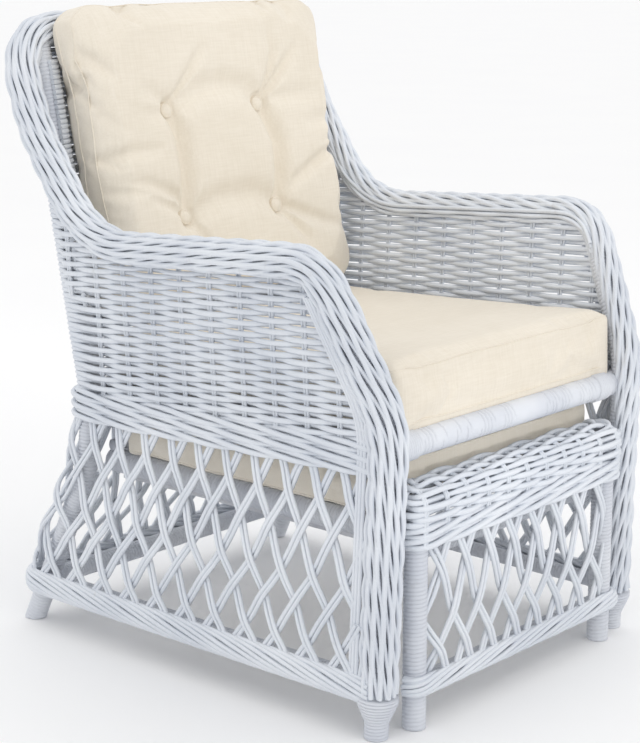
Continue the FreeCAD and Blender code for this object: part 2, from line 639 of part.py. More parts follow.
def lattice_shape(field, pitch):
    """Strands that lean both ways over a four-sided field, one layer for each way.

    The field runs bottom left, bottom right, top right, top left in its own plane.
    """
    bottom = field[0][1]
    top = field[2][1]
    lean = (top - bottom) * math.tan(math.radians(size.lattice_lean))
    half_cut = size.strand_width / 2 / math.cos(math.radians(size.lattice_lean))
    low_edge = min(point[0] for point in field)
    high_edge = max(point[0] for point in field)
    middle = (low_edge + high_edge) / 2
    reach = math.ceil(((high_edge - low_edge) / 2 + lean) / pitch)
    strands = []
    for way in (1, -1):
        depth = -lattice_depth / 2 + (layer if way > 0 else 0)
        for number in range(-reach, reach + 1):
            foot = middle + (number + 0.5) * pitch - way * lean / 2
            head = foot + way * lean
            outline = [(foot - half_cut, bottom), (foot + half_cut, bottom),
                       (head + half_cut, top), (head - half_cut, top)]
            for start, end in zip(field, field[1:] + field[:1]):
                outline = clipped(outline, start, end)
            if len(outline) < 3:
                continue
            corners = [Vector(along, up, depth) for along, up in outline]
            face = Part.Face(Part.makePolygon(corners + corners[:1]))
            if face.Area > size.strand_width ** 2:
                strands.append(face.extrude(Vector(0, 0, size.strand_thickness)))
    return Part.makeCompound(strands)


back_low = Vector(0, hem_front_y + size.hem_thickness / 2, hem_top)
back_high = Vector(0, waist_front_y + size.border_thickness / 2, waist_bottom_rear)
back_up = back_high - back_low
back_tilt = math.atan2(-back_up.y, back_up.z)
tilt_room = lattice_depth / 2 * math.tan(back_tilt) + size.clearance
back_margin = tilt_room / math.cos(back_tilt)
back_half = waist_inner_x
back_field = [(-back_half, back_margin), (back_half, back_margin),
              (back_half, back_up.Length - back_margin), (-back_half, back_up.Length - back_margin)]
back_lattice_place = facing(back_low, Vector(1, 0, 0), back_up)
lattice_back = shaped("lattice_back", lattice_shape(back_field, size.lattice_pitch), back_lattice_place)
keep(lattice_back, "lattice_back")

behind_lattice = (lattice_depth / 2 + size.clearance) / math.cos(back_tilt)
for side, sign in SIDES.items():
    low_x = hem_inner_x + size.hem_thickness / 2
    high_x = waist_inner_x + lattice_depth / 2 + size.clearance
    low = Vector(sign * low_x, 0, hem_top + 2 * size.clearance)
    high = Vector(sign * high_x, 0, waist_bottom_rear - 2 * size.clearance)
    rise = high - low
    front_low = on_line(*front_legs[side], low.z).y + rim_radius + size.clearance
    front_high = on_line(*front_legs[side], high.z).y + rim_radius + size.clearance
    rear_low = back_low.y - behind_lattice
    rear_high = back_high.y - behind_lattice
    field = [(front_low, 0), (rear_low, 0), (rear_high, rise.Length), (front_high, rise.Length)]
    place = facing(low, Vector(0, 1, 0), rise)
    lattice = shaped(f"lattice_{side}", lattice_shape(field, size.lattice_pitch), place)
    keep(lattice, f"lattice_{side}")

# Seat frame

seat_front = spot(0, size.seat_rail_back, seat_rail_z)
seat_rear = leg_at("right", seat_rear_z)
seat_fall = math.atan2(seat_front.z - seat_rear.z, seat_rear.y - seat_front.y)
leg_x = on_line(*front_legs["right"], seat_front.z).x
front_rail_ends = [seat_front - Vector(leg_x, 0, 0), seat_front + Vector(leg_x, 0, 0)]
front_rail = pole("front_seat_rail_blank", *front_rail_ends, "seat_rail_diameter")
rim_spaces = (rim_space["left"], rim_space["right"])
keep(coped("front_seat_rail", front_rail, *rim_spaces), "front_seat_rail")
front_rail_room = room("front_rail_room", *front_rail_ends, "seat_rail_diameter")
rear_rail_ends = [leg_at("left", seat_rear.z), seat_rear]
rear_rail = pole("rear_seat_rail_blank", *rear_rail_ends, "back_rail_diameter")
keep(coped("rear_seat_rail", rear_rail, leg_space["left"], leg_space["right"]), "rear_seat_rail")
rear_rail_room = room("rear_rail_room", *rear_rail_ends, "back_rail_diameter")
side_rail_x = seat_rear.x - size.seat_side_inset
for side, sign in SIDES.items():
    start = Vector(sign * side_rail_x, seat_front.y, seat_front.z)
    end = Vector(sign * side_rail_x, seat_rear.y, seat_rear.z)
    rail = pole(f"seat_side_rail_blank_{side}", start, end, "seat_side_diameter")
    spaces = (front_rail_room, rim_space[side], rear_rail_room, leg_space[side])
    keep(coped(f"seat_side_rail_{side}", rail, *spaces), f"seat_side_rail_{side}")

bindings = []
for side, sign in SIDES.items():
    outer = seat_front + Vector(sign * (leg_x - size.binding_inset), 0, 0)
    inner = outer - Vector(sign * size.binding_length, 0, 0)
    collar = pole(f"seat_binding_{side}", inner, outer, "seat_rail_diameter")
    collar.setExpression("Radius", "Sizes.seat_rail_diameter / 2 + Sizes.binding_thickness")
    bindings.append(coped(f"seat_binding_{side}", collar, front_rail_room, rim_space[side]))
keep(group("seat_rail_bindings", bindings), "seat_rail_bindings")

seat_up = Vector(0, math.sin(seat_fall), math.cos(seat_fall))
seat_run = Vector(0, math.cos(seat_fall), -math.sin(seat_fall))
slat_seat = size.seat_side_diameter / 2 + size.clearance
seat_length = (seat_rear - Vector(seat_rear.x, seat_front.y, seat_front.z)).Length
seat_slat_step = (seat_length - 2 * size.seat_slat_margin) / (size.seat_slat_count - 1)
seat_slats = []
for number in range(int(size.seat_slat_count)):
    along = size.seat_slat_margin + number * seat_slat_step - size.seat_slat_width / 2
    corner = seat_front + seat_run * along + seat_up * slat_seat - Vector(side_rail_x, 0, 0)
    slat = block(f"seat_slat_{number}", corner, 2 * side_rail_x, 1, 1)
    slat.setExpression("Width", "Sizes.seat_slat_width")
    slat.setExpression("Height", "Sizes.seat_slat_thickness")
    slat.Placement = facing(corner, Vector(1, 0, 0), seat_run)
    seat_slats.append(slat)
keep(group("seat_slats", seat_slats), "seat_slats")

# Footrest frame. Its apron stands between the rims of the front legs.

apron_front_y = spot(0, -size.apron_front, 0).y
apron_back_y = apron_front_y + size.apron_depth
apron_top = seat_rail_under - size.apron_gap
apron_bottom = apron_top - size.apron_height
footrest_radius = size.footrest_leg_diameter / 2
rest_leg_y = apron_front_y + size.apron_wall + size.clearance + footrest_radius
rest_leg_top = apron_top - size.apron_nose - size.clearance
narrowest = on_line(*front_legs["right"], apron_top).x
apron_half = narrowest - rim_radius - size.footrest_side_gap
rest_leg_x = apron_half - size.apron_wall - size.clearance - footrest_radius
rest_rail_radius = size.footrest_rail_diameter / 2
rest_cushion_under = seat_rail_under - size.footrest_headroom - size.footrest_cushion_crown - size.footrest_cushion_band
rest_rail_z = rest_cushion_under - size.clearance - rest_rail_radius
hanger_y = seat_rear.y - size.hanger_thickness / 2
rear_rail_radius = size.footrest_rear_diameter / 2
rest_rear_y = hanger_y - rear_rail_radius - size.hanger_gap
rest_rear_z = rest_rail_z + rest_rail_radius + size.clearance + rear_rail_radius
rest_rail_end = rest_rear_y + rear_rail_radius + size.footrest_rail_tail
for side, sign in SIDES.items():
    leg_foot = Vector(sign * rest_leg_x, rest_leg_y, 0)
    leg_top = leg_foot + Vector(0, 0, rest_leg_top)
    rest_leg = pole(f"footrest_leg_{side}", leg_foot, leg_top, "footrest_leg_diameter")
    keep(rest_leg, f"footrest_leg_{side}")
    rail_start = Vector(sign * rest_leg_x, rest_leg_y + footrest_radius + size.clearance, rest_rail_z)
    rail_end = Vector(sign * rest_leg_x, rest_rail_end, rest_rail_z)
    side_rail = pole(f"footrest_side_rail_{side}", rail_start, rail_end, "footrest_rail_diameter")
    keep(side_rail, f"footrest_side_rail_{side}")
between_legs = rest_leg_x - footrest_radius - size.clearance
hem_middle_z = size.footrest_hem_bottom + size.footrest_hem_height / 2
front_rail_z = rest_leg_top - size.footrest_cross_diameter / 2
for name, z in (("footrest_front_rail", front_rail_z), ("footrest_bottom_rail", hem_middle_z)):
    ends = [Vector(sign * between_legs, rest_leg_y, z) for sign in (-1, 1)]
    keep(pole(name, *ends, "footrest_cross_diameter"), name)
rest_rear_ends = [Vector(sign * (rest_leg_x + rest_rail_radius), rest_rear_y, rest_rear_z) for sign in (-1, 1)]
keep(pole("footrest_rear_rail", *rest_rear_ends, "footrest_rear_diameter"), "footrest_rear_rail")

rail_rooms = []
for side, sign in SIDES.items():
    start = Vector(sign * rest_leg_x, rest_leg_y, rest_rail_z)
    end = Vector(sign * rest_leg_x, rest_rail_end, rest_rail_z)
    rail_rooms.append(room(f"footrest_rail_room_{side}", start, end, "footrest_rail_diameter"))
slat_bottom = rest_rail_z + size.footrest_slat_rise - size.footrest_slat_thickness / 2
first_slat_y = rest_leg_y + size.footrest_slat_margin
last_slat_y = rest_rear_y - size.footrest_slat_margin
rest_slat_step = (last_slat_y - first_slat_y) / (size.footrest_slat_count - 1)
rest_slats = []
for number in range(int(size.footrest_slat_count)):
    middle = first_slat_y + number * rest_slat_step
    corner = Vector(-rest_leg_x, middle - size.footrest_slat_width / 2, slat_bottom)
    slat = block(f"footrest_slat_{number}", corner, 2 * rest_leg_x, 1, 1)
    slat.setExpression("Width", "Sizes.footrest_slat_width")
    slat.setExpression("Height", "Sizes.footrest_slat_thickness")
    rest_slats.append(coped(f"footrest_slat_{number}", slat, *rail_rooms))
keep(group("footrest_slats", rest_slats), "footrest_slats")

# Apron: a woven nose over the footrest's legs, open below, with a lip in front of its cushion


def nose(front, back, bottom, top, radius, lip_bottom):
    """A closed outline in the plane of Y and Z with its two upper corners rounded."""
    edge = radius * (1 - math.sqrt(0.5))
    lines = [
        Part.LineSegment(Vector(0, front, bottom), Vector(0, front, top - radius)),
        Part.Arc(Vector(0, front, top - radius), Vector(0, front + edge, top - edge), Vector(0, front + radius, top)),
        Part.LineSegment(Vector(0, front + radius, top), Vector(0, back - radius, top)),
        Part.Arc(Vector(0, back - radius, top), Vector(0, back - edge, top - edge), Vector(0, back, top - radius)),
        Part.LineSegment(Vector(0, back, top - radius), Vector(0, back, lip_bottom)),
    ]
    if lip_bottom > bottom:
        lines.append(Part.LineSegment(Vector(0, back, lip_bottom), Vector(0, back - size.apron_wall, lip_bottom)))
        lines.append(Part.LineSegment(Vector(0, back - size.apron_wall, lip_bottom),
                                      Vector(0, back - size.apron_wall, bottom)))
        back -= size.apron_wall
    lines.append(Part.LineSegment(Vector(0, back, bottom), Vector(0, front, bottom)))
    return Part.Face(Part.Wire([line.toShape() for line in lines]))


wall = size.apron_wall
outer_nose = nose(apron_front_y, apron_back_y, apron_bottom, apron_top,
                  size.apron_nose, apron_top - size.apron_nose - size.apron_lip)
inner_nose = nose(apron_front_y + wall, apron_back_y - wall, apron_bottom - wall,
                  apron_top - wall, size.apron_nose - wall, apron_bottom - wall)
outer_nose.translate(Vector(-apron_half, 0, 0))
inner_nose.translate(Vector(wall - apron_half, 0, 0))
apron_skin = outer_nose.extrude(Vector(2 * apron_half, 0, 0))
apron_hollow = inner_nose.extrude(Vector(2 * (apron_half - wall), 0, 0))
apron_blank = shaped("footrest_apron_blank", apron_skin.cut(apron_hollow))
keep(coped("footrest_apron", apron_blank, *rail_rooms), "footrest_apron")

hem_rear_y = rest_leg_y - footrest_radius - size.clearance
rest_hem = block("footrest_bottom_border", Vector(-apron_half, apron_front_y, size.footrest_hem_bottom),
                 2 * apron_half, hem_rear_y - apron_front_y, size.footrest_hem_height)
rest_hem.setExpression("Height", "Sizes.footrest_hem_height")
keep(rest_hem, "footrest_bottom_border")
field_low = size.footrest_hem_bottom + size.footrest_hem_height + size.clearance
field_high = apron_bottom - size.clearance
field_half = between_legs - size.clearance
rest_field = [(-field_half, field_low), (field_half, field_low), (field_half, field_high), (-field_half, field_high)]
lattice_y = apron_front_y + lattice_depth / 2 + 2 * size.clearance
rest_lattice_place = facing(Vector(0, lattice_y, 0), Vector(1, 0, 0), Vector(0, 0, 1))
rest_lattice = shaped("footrest_lattice", lattice_shape(rest_field, size.footrest_pitch), rest_lattice_place)
keep(rest_lattice, "footrest_lattice")

# Bar, runners and hangers that carry the footrest, and the blocks that stop it

bar_z = rest_rail_z - rest_rail_radius - size.bar_gap - size.bar_diameter / 2
bar_leg = on_line(*front_legs["right"], bar_z)
bar_back = bar_leg.y + rim_radius + size.clearance + size.bar_diameter / 2
bar_ends = [Vector(sign * bar_leg.x, bar_back, bar_z) for sign in (-1, 1)]
keep(pole("footrest_bar", *bar_ends, "bar_diameter"), "footrest_bar")
bar_top = bar_z + size.bar_diameter / 2 + size.clearance
hangers = []
stops = []
stop_front_y = last_slat_y - size.footrest_slat_width / 2
runner_x = rest_leg_x - size.runner_inset
stop_x = rest_leg_x - size.stop_inset
for side, sign in SIDES.items():
    runner_start = bar_back - size.bar_diameter / 2
    runner = block(f"footrest_runner_{side}",
                   Vector(sign * runner_x - size.runner_width / 2, runner_start, bar_top),
                   1, hanger_y - size.clearance - runner_start, slat_bottom - size.clearance - bar_top)
    runner.setExpression("Length", "Sizes.runner_width")
    keep(runner, f"footrest_runner_{side}")
    hanger_top = seat_rear.z - size.back_rail_diameter / 2 - size.clearance
    hanger = block(f"runner_hanger_{side}",
                   Vector(sign * runner_x - size.hanger_width / 2, hanger_y, bar_top),
                   1, 1, hanger_top - bar_top)
    hanger.setExpression("Length", "Sizes.hanger_width")
    hanger.setExpression("Width", "Sizes.hanger_thickness")
    hangers.append(hanger)
    stop = block(f"footrest_stop_{side}",
                 Vector(sign * stop_x - size.stop_width / 2, stop_front_y, bar_z),
                 1, 1, slat_bottom - size.clearance - bar_z)
    stop.setExpression("Length", "Sizes.stop_width")
    stop.setExpression("Width", "Sizes.stop_width")
    stops.append(stop)
keep(group("runner_hangers", hangers), "runner_hangers")
keep(group("footrest_stops", stops), "footrest_stops")

# Cushions: lofts through outlines whose sides draw in between rounded corners


def cushion_wire(half, length, corner, level, inset):
    """One outline of a cushion at a level, pulled in by an inset. Its own Y runs along its length."""
    half = half - inset
    low = inset
    high = length - inset
    draw = size.cushion_draw
    middle = length / 2
    bite = corner * (1 - math.sqrt(0.5))

    def at(x, y):
        return Vector(x, y, level)

    arcs = [
        Part.Arc(at(half, low + corner), at(half - draw, middle), at(half, high - corner)),
        Part.Arc(at(half, high - corner), at(half - bite, high - bite), at(half - corner, high)),
        Part.Arc(at(half - corner, high), at(0, high - draw), at(corner - half, high)),
        Part.Arc(at(corner - half, high), at(bite - half, high - bite), at(-half, high - corner)),
        Part.Arc(at(-half, high - corner), at(draw - half, middle), at(-half, low + corner)),
        Part.Arc(at(-half, low + corner), at(bite - half, low + bite), at(corner - half, low)),
        Part.Arc(at(corner - half, low), at(0, low + draw), at(half - corner, low)),
        Part.Arc(at(half - corner, low), at(half - bite, low + bite), at(half, low + corner)),
    ]
    return Part.Wire([arc.toShape() for arc in arcs])


def cushion_shape(half, length, corner, levels):
    """A closed cushion through outlines at the given levels and insets."""
    return Part.makeLoft([cushion_wire(half, length, corner, *level) for level in levels], True, True)


def crown_levels(base, crown):
    """Levels of a face that rises from its seam to a crown."""
    steps = [step / CROWN_STEPS for step in range(1, CROWN_STEPS + 1)]
    span = size.cushion_dome - size.cushion_inset
    return [(base + crown * (2 * step - step ** 2), size.cushion_inset + span * step) for step in steps]


def boxed_levels(band, crown):
    """Levels of a boxed cushion: flat under, upright between its seams and crowned on top."""
    edge = size.cushion_inset
    bend = edge * (1 - math.sqrt(0.5))
    levels = [(0, edge), (bend, bend), (edge, 0), (band - edge, 0), (band - bend, bend), (band, edge)]
    return levels + crown_levels(band, crown)


seat_bed = slat_seat + size.seat_slat_thickness + size.clearance
cushion_back = -size.seat_cushion_front - size.seat_rail_back
seat_cushion_place = facing(seat_front + seat_run * cushion_back + seat_up * seat_bed, Vector(1, 0, 0), seat_run)
seat_levels = boxed_levels(size.seat_cushion_band, size.seat_cushion_crown)
seat_half = knee_x - rim_radius + size.seat_cushion_lap
seat_cushion_rear = seat_rear.y - leg_radius - size.seat_cushion_gap
seat_cushion_run = (seat_cushion_rear - seat_front.y) / math.cos(seat_fall) - cushion_back
seat_cushion = cushion_shape(seat_half, seat_cushion_run, size.seat_cushion_corner, seat_levels)
keep(shaped("seat_cushion", seat_cushion, seat_cushion_place), "seat_cushion")

rest_half = apron_half - size.footrest_cushion_margin
rest_cushion_front = apron_back_y + size.footrest_cushion_gap
rest_cushion_run = rest_rear_y - rear_rail_radius - size.footrest_cushion_gap - rest_cushion_front
rest_bed = Vector(0, rest_cushion_front, rest_cushion_under)
rest_levels = boxed_levels(size.footrest_cushion_band, size.footrest_cushion_crown)
rest_cushion = cushion_shape(rest_half, rest_cushion_run, size.footrest_cushion_corner, rest_levels)
keep(shaped("footrest_cushion", rest_cushion, facing(rest_bed, Vector(1, 0, 0), Vector(0, 1, 0))), "footrest_cushion")

seat_top = seat_bed + size.seat_cushion_band + size.seat_cushion_crown
seat_top_z = seat_front.z + seat_top / math.cos(seat_fall) - (seat_rear.y - seat_front.y) * math.tan(seat_fall)
post_face = (leg_radius + 2 * size.clearance) / math.cos(post_rake)
rim_face = rim_radius / math.cos(post_rake)
lean_low = on_line(right_post, right_top, seat_top_z) - Vector(0, post_face, 0)
lean_high = crest_middle - Vector(0, rim_face, 0)
cushion_rake = math.atan2(lean_high.y - lean_low.y, lean_high.z - lean_low.z)
cushion_up = Vector(0, math.sin(cushion_rake), math.cos(cushion_rake))
edge_lift = size.cushion_inset * math.sin(cushion_rake)
back_foot = Vector(0, lean_low.y, lean_low.z) + cushion_up * (size.clearance - edge_lift)
back_cushion_place = facing(back_foot, Vector(1, 0, 0), cushion_up)
back_levels = boxed_levels(size.back_cushion_band, size.back_cushion_crown)
back_half = crest_x - rim_radius - size.back_cushion_gap
back_rise = (lean_high - Vector(0, lean_low.y, lean_low.z)).Length + size.back_cushion_rise
back_loft = cushion_shape(back_half, back_rise, size.back_cushion_corner, back_levels)
back_blank = shaped("back_cushion_blank", back_loft, back_cushion_place)
face_level = size.back_cushion_band + size.back_cushion_crown
half_button = size.button_diameter / 2
dome_radius = (half_button ** 2 + size.button_thickness ** 2) / (2 * size.button_thickness)
tufts = []
buttons = []
for x in (-size.button_x, size.button_x):
    for up in (size.button_low, size.button_low + size.button_rise):
        floor_point = back_cushion_place.multVec(Vector(x, up, face_level - size.tuft_depth))
        turn = back_cushion_place.Rotation
        tuft = doc.addObject("Part::Cone", "tuft")
        tuft.setExpression("Radius1", "Sizes.button_diameter / 2 + 4 * Sizes.clearance")
        tuft.setExpression("Radius2", "Sizes.tuft_spread")
        tuft.setExpression("Height", "Sizes.tuft_depth + Sizes.clearance")
        tuft.Placement = Placement(floor_point, turn)
        tufts.append(tuft)
        dome_middle = face_level - size.tuft_depth + size.clearance + size.button_thickness - dome_radius
        button = doc.addObject("Part::Sphere", "button")
        button.Radius = dome_radius
        button.Angle1 = math.degrees(math.asin(1 - size.button_thickness / dome_radius))
        button.Angle2 = 90
        button.Placement = Placement(back_cushion_place.multVec(Vector(x, up, dome_middle)), turn)
        buttons.append(button)
keep(coped("back_cushion", back_blank, *tufts), "back_cushion")
keep(group("back_cushion_buttons", buttons), "back_cushion_buttons")

# Check every object and write the nodes

doc.recompute()
for item in doc.Objects:
    if "Invalid" in item.State or "Error" in item.State:
        raise RuntimeError(f"{item.Label} failed: {item.State}")
for piece in nodes:
    if piece.Shape.isNull() or not piece.Shape.isValid() or not piece.Shape.Solids:
        raise RuntimeError(f"{piece.Label} has no valid solid")
os.makedirs("parts", exist_ok=True)
for piece in nodes:
    piece.Shape.exportStep(f"parts/{piece.Label}.step")
    box = piece.Shape.BoundBox
    print(f"{piece.Label:26s} {len(piece.Shape.Solids):3d} solids {piece.Shape.Volume / 1000:10.1f} cm3 "
          f"x {box.XMin:7.1f} {box.XMax:7.1f}  y {box.YMin:7.1f} {box.YMax:7.1f}  z {box.ZMin:7.1f} {box.ZMax:7.1f}")
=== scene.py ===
"""White woven rattan armchair with a footrest that slides out from under the seat.

The strands of the weave, the wound cane and the cushions are modelled here, each over the node
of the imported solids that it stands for. Everything is in metres.
"""

import json
import random
from math import atan2, ceil, cos, hypot, pi, radians, sin, sqrt, tan

import bpy
import numpy as np
from mathutils import Matrix, Vector
from mathutils.bvhtree import BVHTree


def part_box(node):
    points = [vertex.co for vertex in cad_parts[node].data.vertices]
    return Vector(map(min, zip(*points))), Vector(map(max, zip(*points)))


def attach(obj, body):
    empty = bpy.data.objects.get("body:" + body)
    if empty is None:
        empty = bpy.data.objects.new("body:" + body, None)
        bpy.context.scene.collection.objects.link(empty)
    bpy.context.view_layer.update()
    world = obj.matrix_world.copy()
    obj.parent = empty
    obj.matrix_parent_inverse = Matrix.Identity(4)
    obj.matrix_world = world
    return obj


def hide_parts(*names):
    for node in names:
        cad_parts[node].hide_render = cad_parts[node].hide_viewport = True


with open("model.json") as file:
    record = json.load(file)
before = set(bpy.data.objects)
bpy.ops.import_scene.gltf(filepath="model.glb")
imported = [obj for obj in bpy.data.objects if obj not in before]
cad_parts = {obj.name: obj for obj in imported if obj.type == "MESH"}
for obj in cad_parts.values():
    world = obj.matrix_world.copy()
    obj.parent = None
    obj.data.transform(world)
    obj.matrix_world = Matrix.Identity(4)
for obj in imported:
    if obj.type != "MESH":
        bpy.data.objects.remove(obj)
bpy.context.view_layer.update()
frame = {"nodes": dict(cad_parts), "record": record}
nodes = frame["nodes"]
bpy.ops.object.select_all(action="DESELECT")
chance = random.Random(11)


# ---- finishes

class Value:
    """A shader socket that takes part in plain sums."""

    def __init__(self, finish, socket):
        self.finish, self.socket = finish, socket

    def _sum(self, operation, *values):
        return self.finish.node("Math", {"operation": operation}, *values)

    def __add__(self, other):
        return self._sum("ADD", self, other)

    def __mul__(self, other):
        return self._sum("MULTIPLY", self, other)

    __radd__, __rmul__ = __add__, __mul__

    def wave(self):
        return self._sum("SINE", self)


class Finish:
    """A material whose nodes are written as sums."""

    def __init__(self, name, roughness, **constants):
        self.material = bpy.data.materials.new(name)
        self.material.use_nodes = True
        self.tree = self.material.node_tree
        self.shader = self.tree.nodes["Principled BSDF"]
        self.shader.inputs["Roughness"].default_value = roughness
        for socket, value in constants.items():
            self.shader.inputs[socket.replace("_", " ")].default_value = value

    def put(self, socket, value):
        if isinstance(value, Value):
            self.tree.links.new(value.socket, socket)
        else:
            socket.default_value = value

    def node(self, kind, settings, *values, out=0, first=0, **named):
        made = self.tree.nodes.new("ShaderNode" + kind)
        for key, value in settings.items():
            setattr(made, key, value)
        for socket, value in zip(made.inputs[first:], values):
            self.put(socket, value)
        for key, value in named.items():
            self.put(made.inputs[key], value)
        return Value(self, made.outputs[out])

    def place(self, scale=(1, 1, 1)):
        where = self.node("TexCoord", {}, out="Object")
        return self.node("Mapping", {}, Vector=where, Scale=scale)

    def noise(self, where, scale, detail=3.0):
        return self.node("TexNoise", {}, Vector=where, Scale=scale, Detail=detail)

    def mix(self, share, first, second):
        """A colour between two, or between a colour and another mix."""
        settings = {"data_type": "RGBA"}
        return self.node("Mix", settings, first, second, first=6, out=2, Factor=share)

    def range(self, value, low, high, start, end):
        settings = {"clamp": True}
        return self.node("MapRange", settings, value, low, high, start, end)

    def done(self, colour, roughness=None, height=None, depth=0.0005, strength=0.5):
        self.put(self.shader.inputs["Base Color"], colour)
        if roughness is not None:
            self.put(self.shader.inputs["Roughness"], roughness)
        if height is not None:
            bump = self.node("Bump", {}, Strength=strength, Distance=depth, Height=height)
            self.put(self.shader.inputs["Normal"], bump)
        return self.material


def tone(red, green, blue):
    """A colour given as a picture shows it, 0 to 255."""
    linear = [
        c / 12.92 if c <= 0.04045 else ((c + 0.055) / 1.055) ** 2.4
        for c in (red / 255, green / 255, blue / 255)
    ]
    return (*linear, 1.0)


def white_rattan(name, light, shade, worn, fibre=(260, 260, 40)):
    """Painted cane: brush streaks, a few thin places in the paint, a satin shine."""
    paint = Finish(name, 0.5, Specular_IOR_Level=0.4)
    cloud = paint.noise(paint.place(), 9.0)
    streak = paint.noise(paint.place(fibre), 1.0, 4.0)
    thin = paint.noise(paint.place((1, 1, 0.5)), 70.0, 5.0)
    mixed = paint.mix(paint.range(cloud, 0.35, 0.65, 0.0, 1.0), light, shade)
    bare = paint.range(thin, 0.66, 0.8, 0.0, 0.35)
    colour = paint.mix(bare, mixed, worn)
    rough = 0.42 + 0.22 * streak
    return paint.done(colour, rough, streak + 0.6 * thin, 0.0006, 0.35)


THREAD = 0.0016


def cushion_weave(name, light, shade):
    """Plain-woven cotton: crossing threads with thick and thin places."""
    cloth = Finish(name, 0.92, Specular_IOR_Level=0.15, Sheen_Weight=0.25, Sheen_Roughness=0.5)
    where = cloth.place()
    across, deep, high = (cloth.node("SeparateXYZ", {}, where, out=axis) for axis in range(3))
    threads = 2 * pi / THREAD
    weave = (across * threads).wave() * ((deep + high) * threads).wave()
    slub = cloth.noise(cloth.place((30, 380, 380)), 1.0, 3.0)
    cross_slub = cloth.noise(cloth.place((380, 30, 30)), 1.0, 3.0)
    cloud = cloth.noise(where, 7.0)
    uneven = cloth.range(slub + cross_slub + cloud, 1.1, 1.9, 0.0, 1.0)
    colour = cloth.mix(uneven, light, shade)
    rough = 0.86 + 0.1 * slub
    return cloth.done(colour, rough, weave * 0.3 + slub + cross_slub, 0.0004, 0.3)


strand_white = white_rattan(
    "woven_strand", tone(226, 230, 236), tone(214, 219, 227), tone(190, 188, 186)
)
pole_white = white_rattan(
    "bent_pole", tone(214, 218, 225), tone(200, 205, 214), tone(176, 174, 172)
)
cane_white = white_rattan(
    "wound_cane", tone(222, 225, 231), tone(206, 210, 219), tone(182, 180, 180), (40, 40, 500)
)
wood_white = white_rattan(
    "painted_slat", tone(226, 228, 232), tone(210, 212, 218), tone(180, 174, 166), (30, 400, 400)
)
cushion_cream = cushion_weave("cushion_cream", tone(234, 226, 212), tone(225, 216, 200))
# painted light: the footrest's cloth is the seat's cloth painted lighter, standing in for the front
# light that the cushion under the seat doesn't get
footrest_cream_painted_light = cushion_weave("footrest_cream_painted_light", tone(246, 239, 226), tone(239, 231, 216))

SLOT_FINISH = {
    "woven_rattan": strand_white,
    "rattan_pole": pole_white,
    "cane_wrap": cane_white,
    "painted_wood": wood_white,
    "cushion_cloth": cushion_cream,
}
for entry in frame["record"]["subparts"]:
    solid = nodes[entry["node"]]
    solid.data.materials.clear()
    solid.data.materials.append(SLOT_FINISH[entry["material_slot"]])


# ---- bench tools

def in_hand():
    """The piece in hand."""
    return bpy.context.view_layer.objects.active


def hold(piece):
    bpy.ops.object.select_all(action="DESELECT")
    piece.select_set(True)
    bpy.context.view_layer.objects.active = piece
    return piece


def mode(name):
    bpy.ops.object.mode_set(mode=name)


def none_picked(kind):
    """Readies the piece in hand for its edges or faces to be picked one by one."""
    mode("EDIT")
    bpy.ops.mesh.select_mode(type=kind)
    bpy.ops.mesh.select_all(action="DESELECT")
    mode("OBJECT")


def points_of(piece):
    return np.array([v.co for v in piece.data.vertices])


def brought_in(name, data):
    """A new piece, put on the bench and taken in hand."""
    piece = bpy.data.objects.new(name, data)
    bpy.context.scene.collection.objects.link(piece)
    return hold(piece)


def fit(piece, name, slot, body, *stands_for, finish=None):
    """Names a finished piece, gives it its finish, and fixes it to the body that carries it."""
    piece.name = name
    piece.data.name = name
    piece.data.materials.clear()
    piece.data.materials.append(finish or SLOT_FINISH[slot])
    if stands_for:
        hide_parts(*stands_for)
    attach(piece, body)


def joined(pieces):
    """Several loose pieces as one."""
    hold(pieces[0])
    for piece in pieces:
        piece.select_set(True)
    bpy.ops.object.join()
    return in_hand()


def strands(lines, radius, steps=2):
    """Round strands along lines of points, as one mesh.

    A line may end in a number: its own thickness, as a share of the radius.
    """
    bundle = bpy.data.curves.new("strands", "CURVE")
    bundle.dimensions = "3D"
    bundle.bevel_depth = radius
    bundle.bevel_resolution = 1
    bundle.use_fill_caps = True
    bundle.resolution_u = steps
    for line in lines:
        share = 1.0
        if np.isscalar(line[-1]):
            *line, share = line
        spline = bundle.splines.new("NURBS")
        spline.points.add(len(line) - 1)
        places = np.ones((len(line), 4))
        places[:, :3] = np.array(line)
        spline.points.foreach_set("co", places.ravel())
        for point in spline.points:
            point.radius = share
        spline.order_u = min(3, len(line))
        spline.use_endpoint_u = True
        spline.resolution_u = steps
    brought_in("strands", bundle)
    bpy.ops.object.convert(target="MESH")
    bpy.ops.object.shade_smooth()
    return in_hand()


ARC_STEPS = 12


def rounded(corners, radii, step):
    """Even points along a line whose corners are rounded to the given radii."""
    corners = [Vector(c) for c in corners]
    points = [corners[0]]
    for before, corner, after, radius in zip(corners, corners[1:], corners[2:], radii):
        back, ahead = (before - corner).normalized(), (after - corner).normalized()
        half = back.angle(ahead) / 2
        reach = radius / tan(half)
        centre = corner + (back + ahead).normalized() * (radius / sin(half))
        start, end = corner + back * reach - centre, corner + ahead * reach - centre
        turn = start.angle(end)
        for i in range(ARC_STEPS + 1):
            share = i / ARC_STEPS
            a, b = sin(turn * (1 - share)), sin(turn * share)
            points.append(centre + (start * a + end * b) / sin(turn))
    points.append(corners[-1])
    return even(np.array(points), step)


def even(points, step):
    """The same line with its points the same distance apart."""
    gaps = np.linalg.norm(np.diff(points, axis=0), axis=1)
    far = np.concatenate([[0], np.cumsum(gaps)])
    count = max(2, int(round(far[-1] / step)) + 1)
    at = np.linspace(0, far[-1], count)
    return np.stack([np.interp(at, far, points[:, k]) for k in range(3)], axis=1)


def straight(a, b, step=0.02):
    return even(np.array([a, b], float), step)


def mirrored(half):
    """A line that is given from the middle to its right end, with its left half before it."""
    return [(-x, y, z) for x, y, z in half[:0:-1]] + half


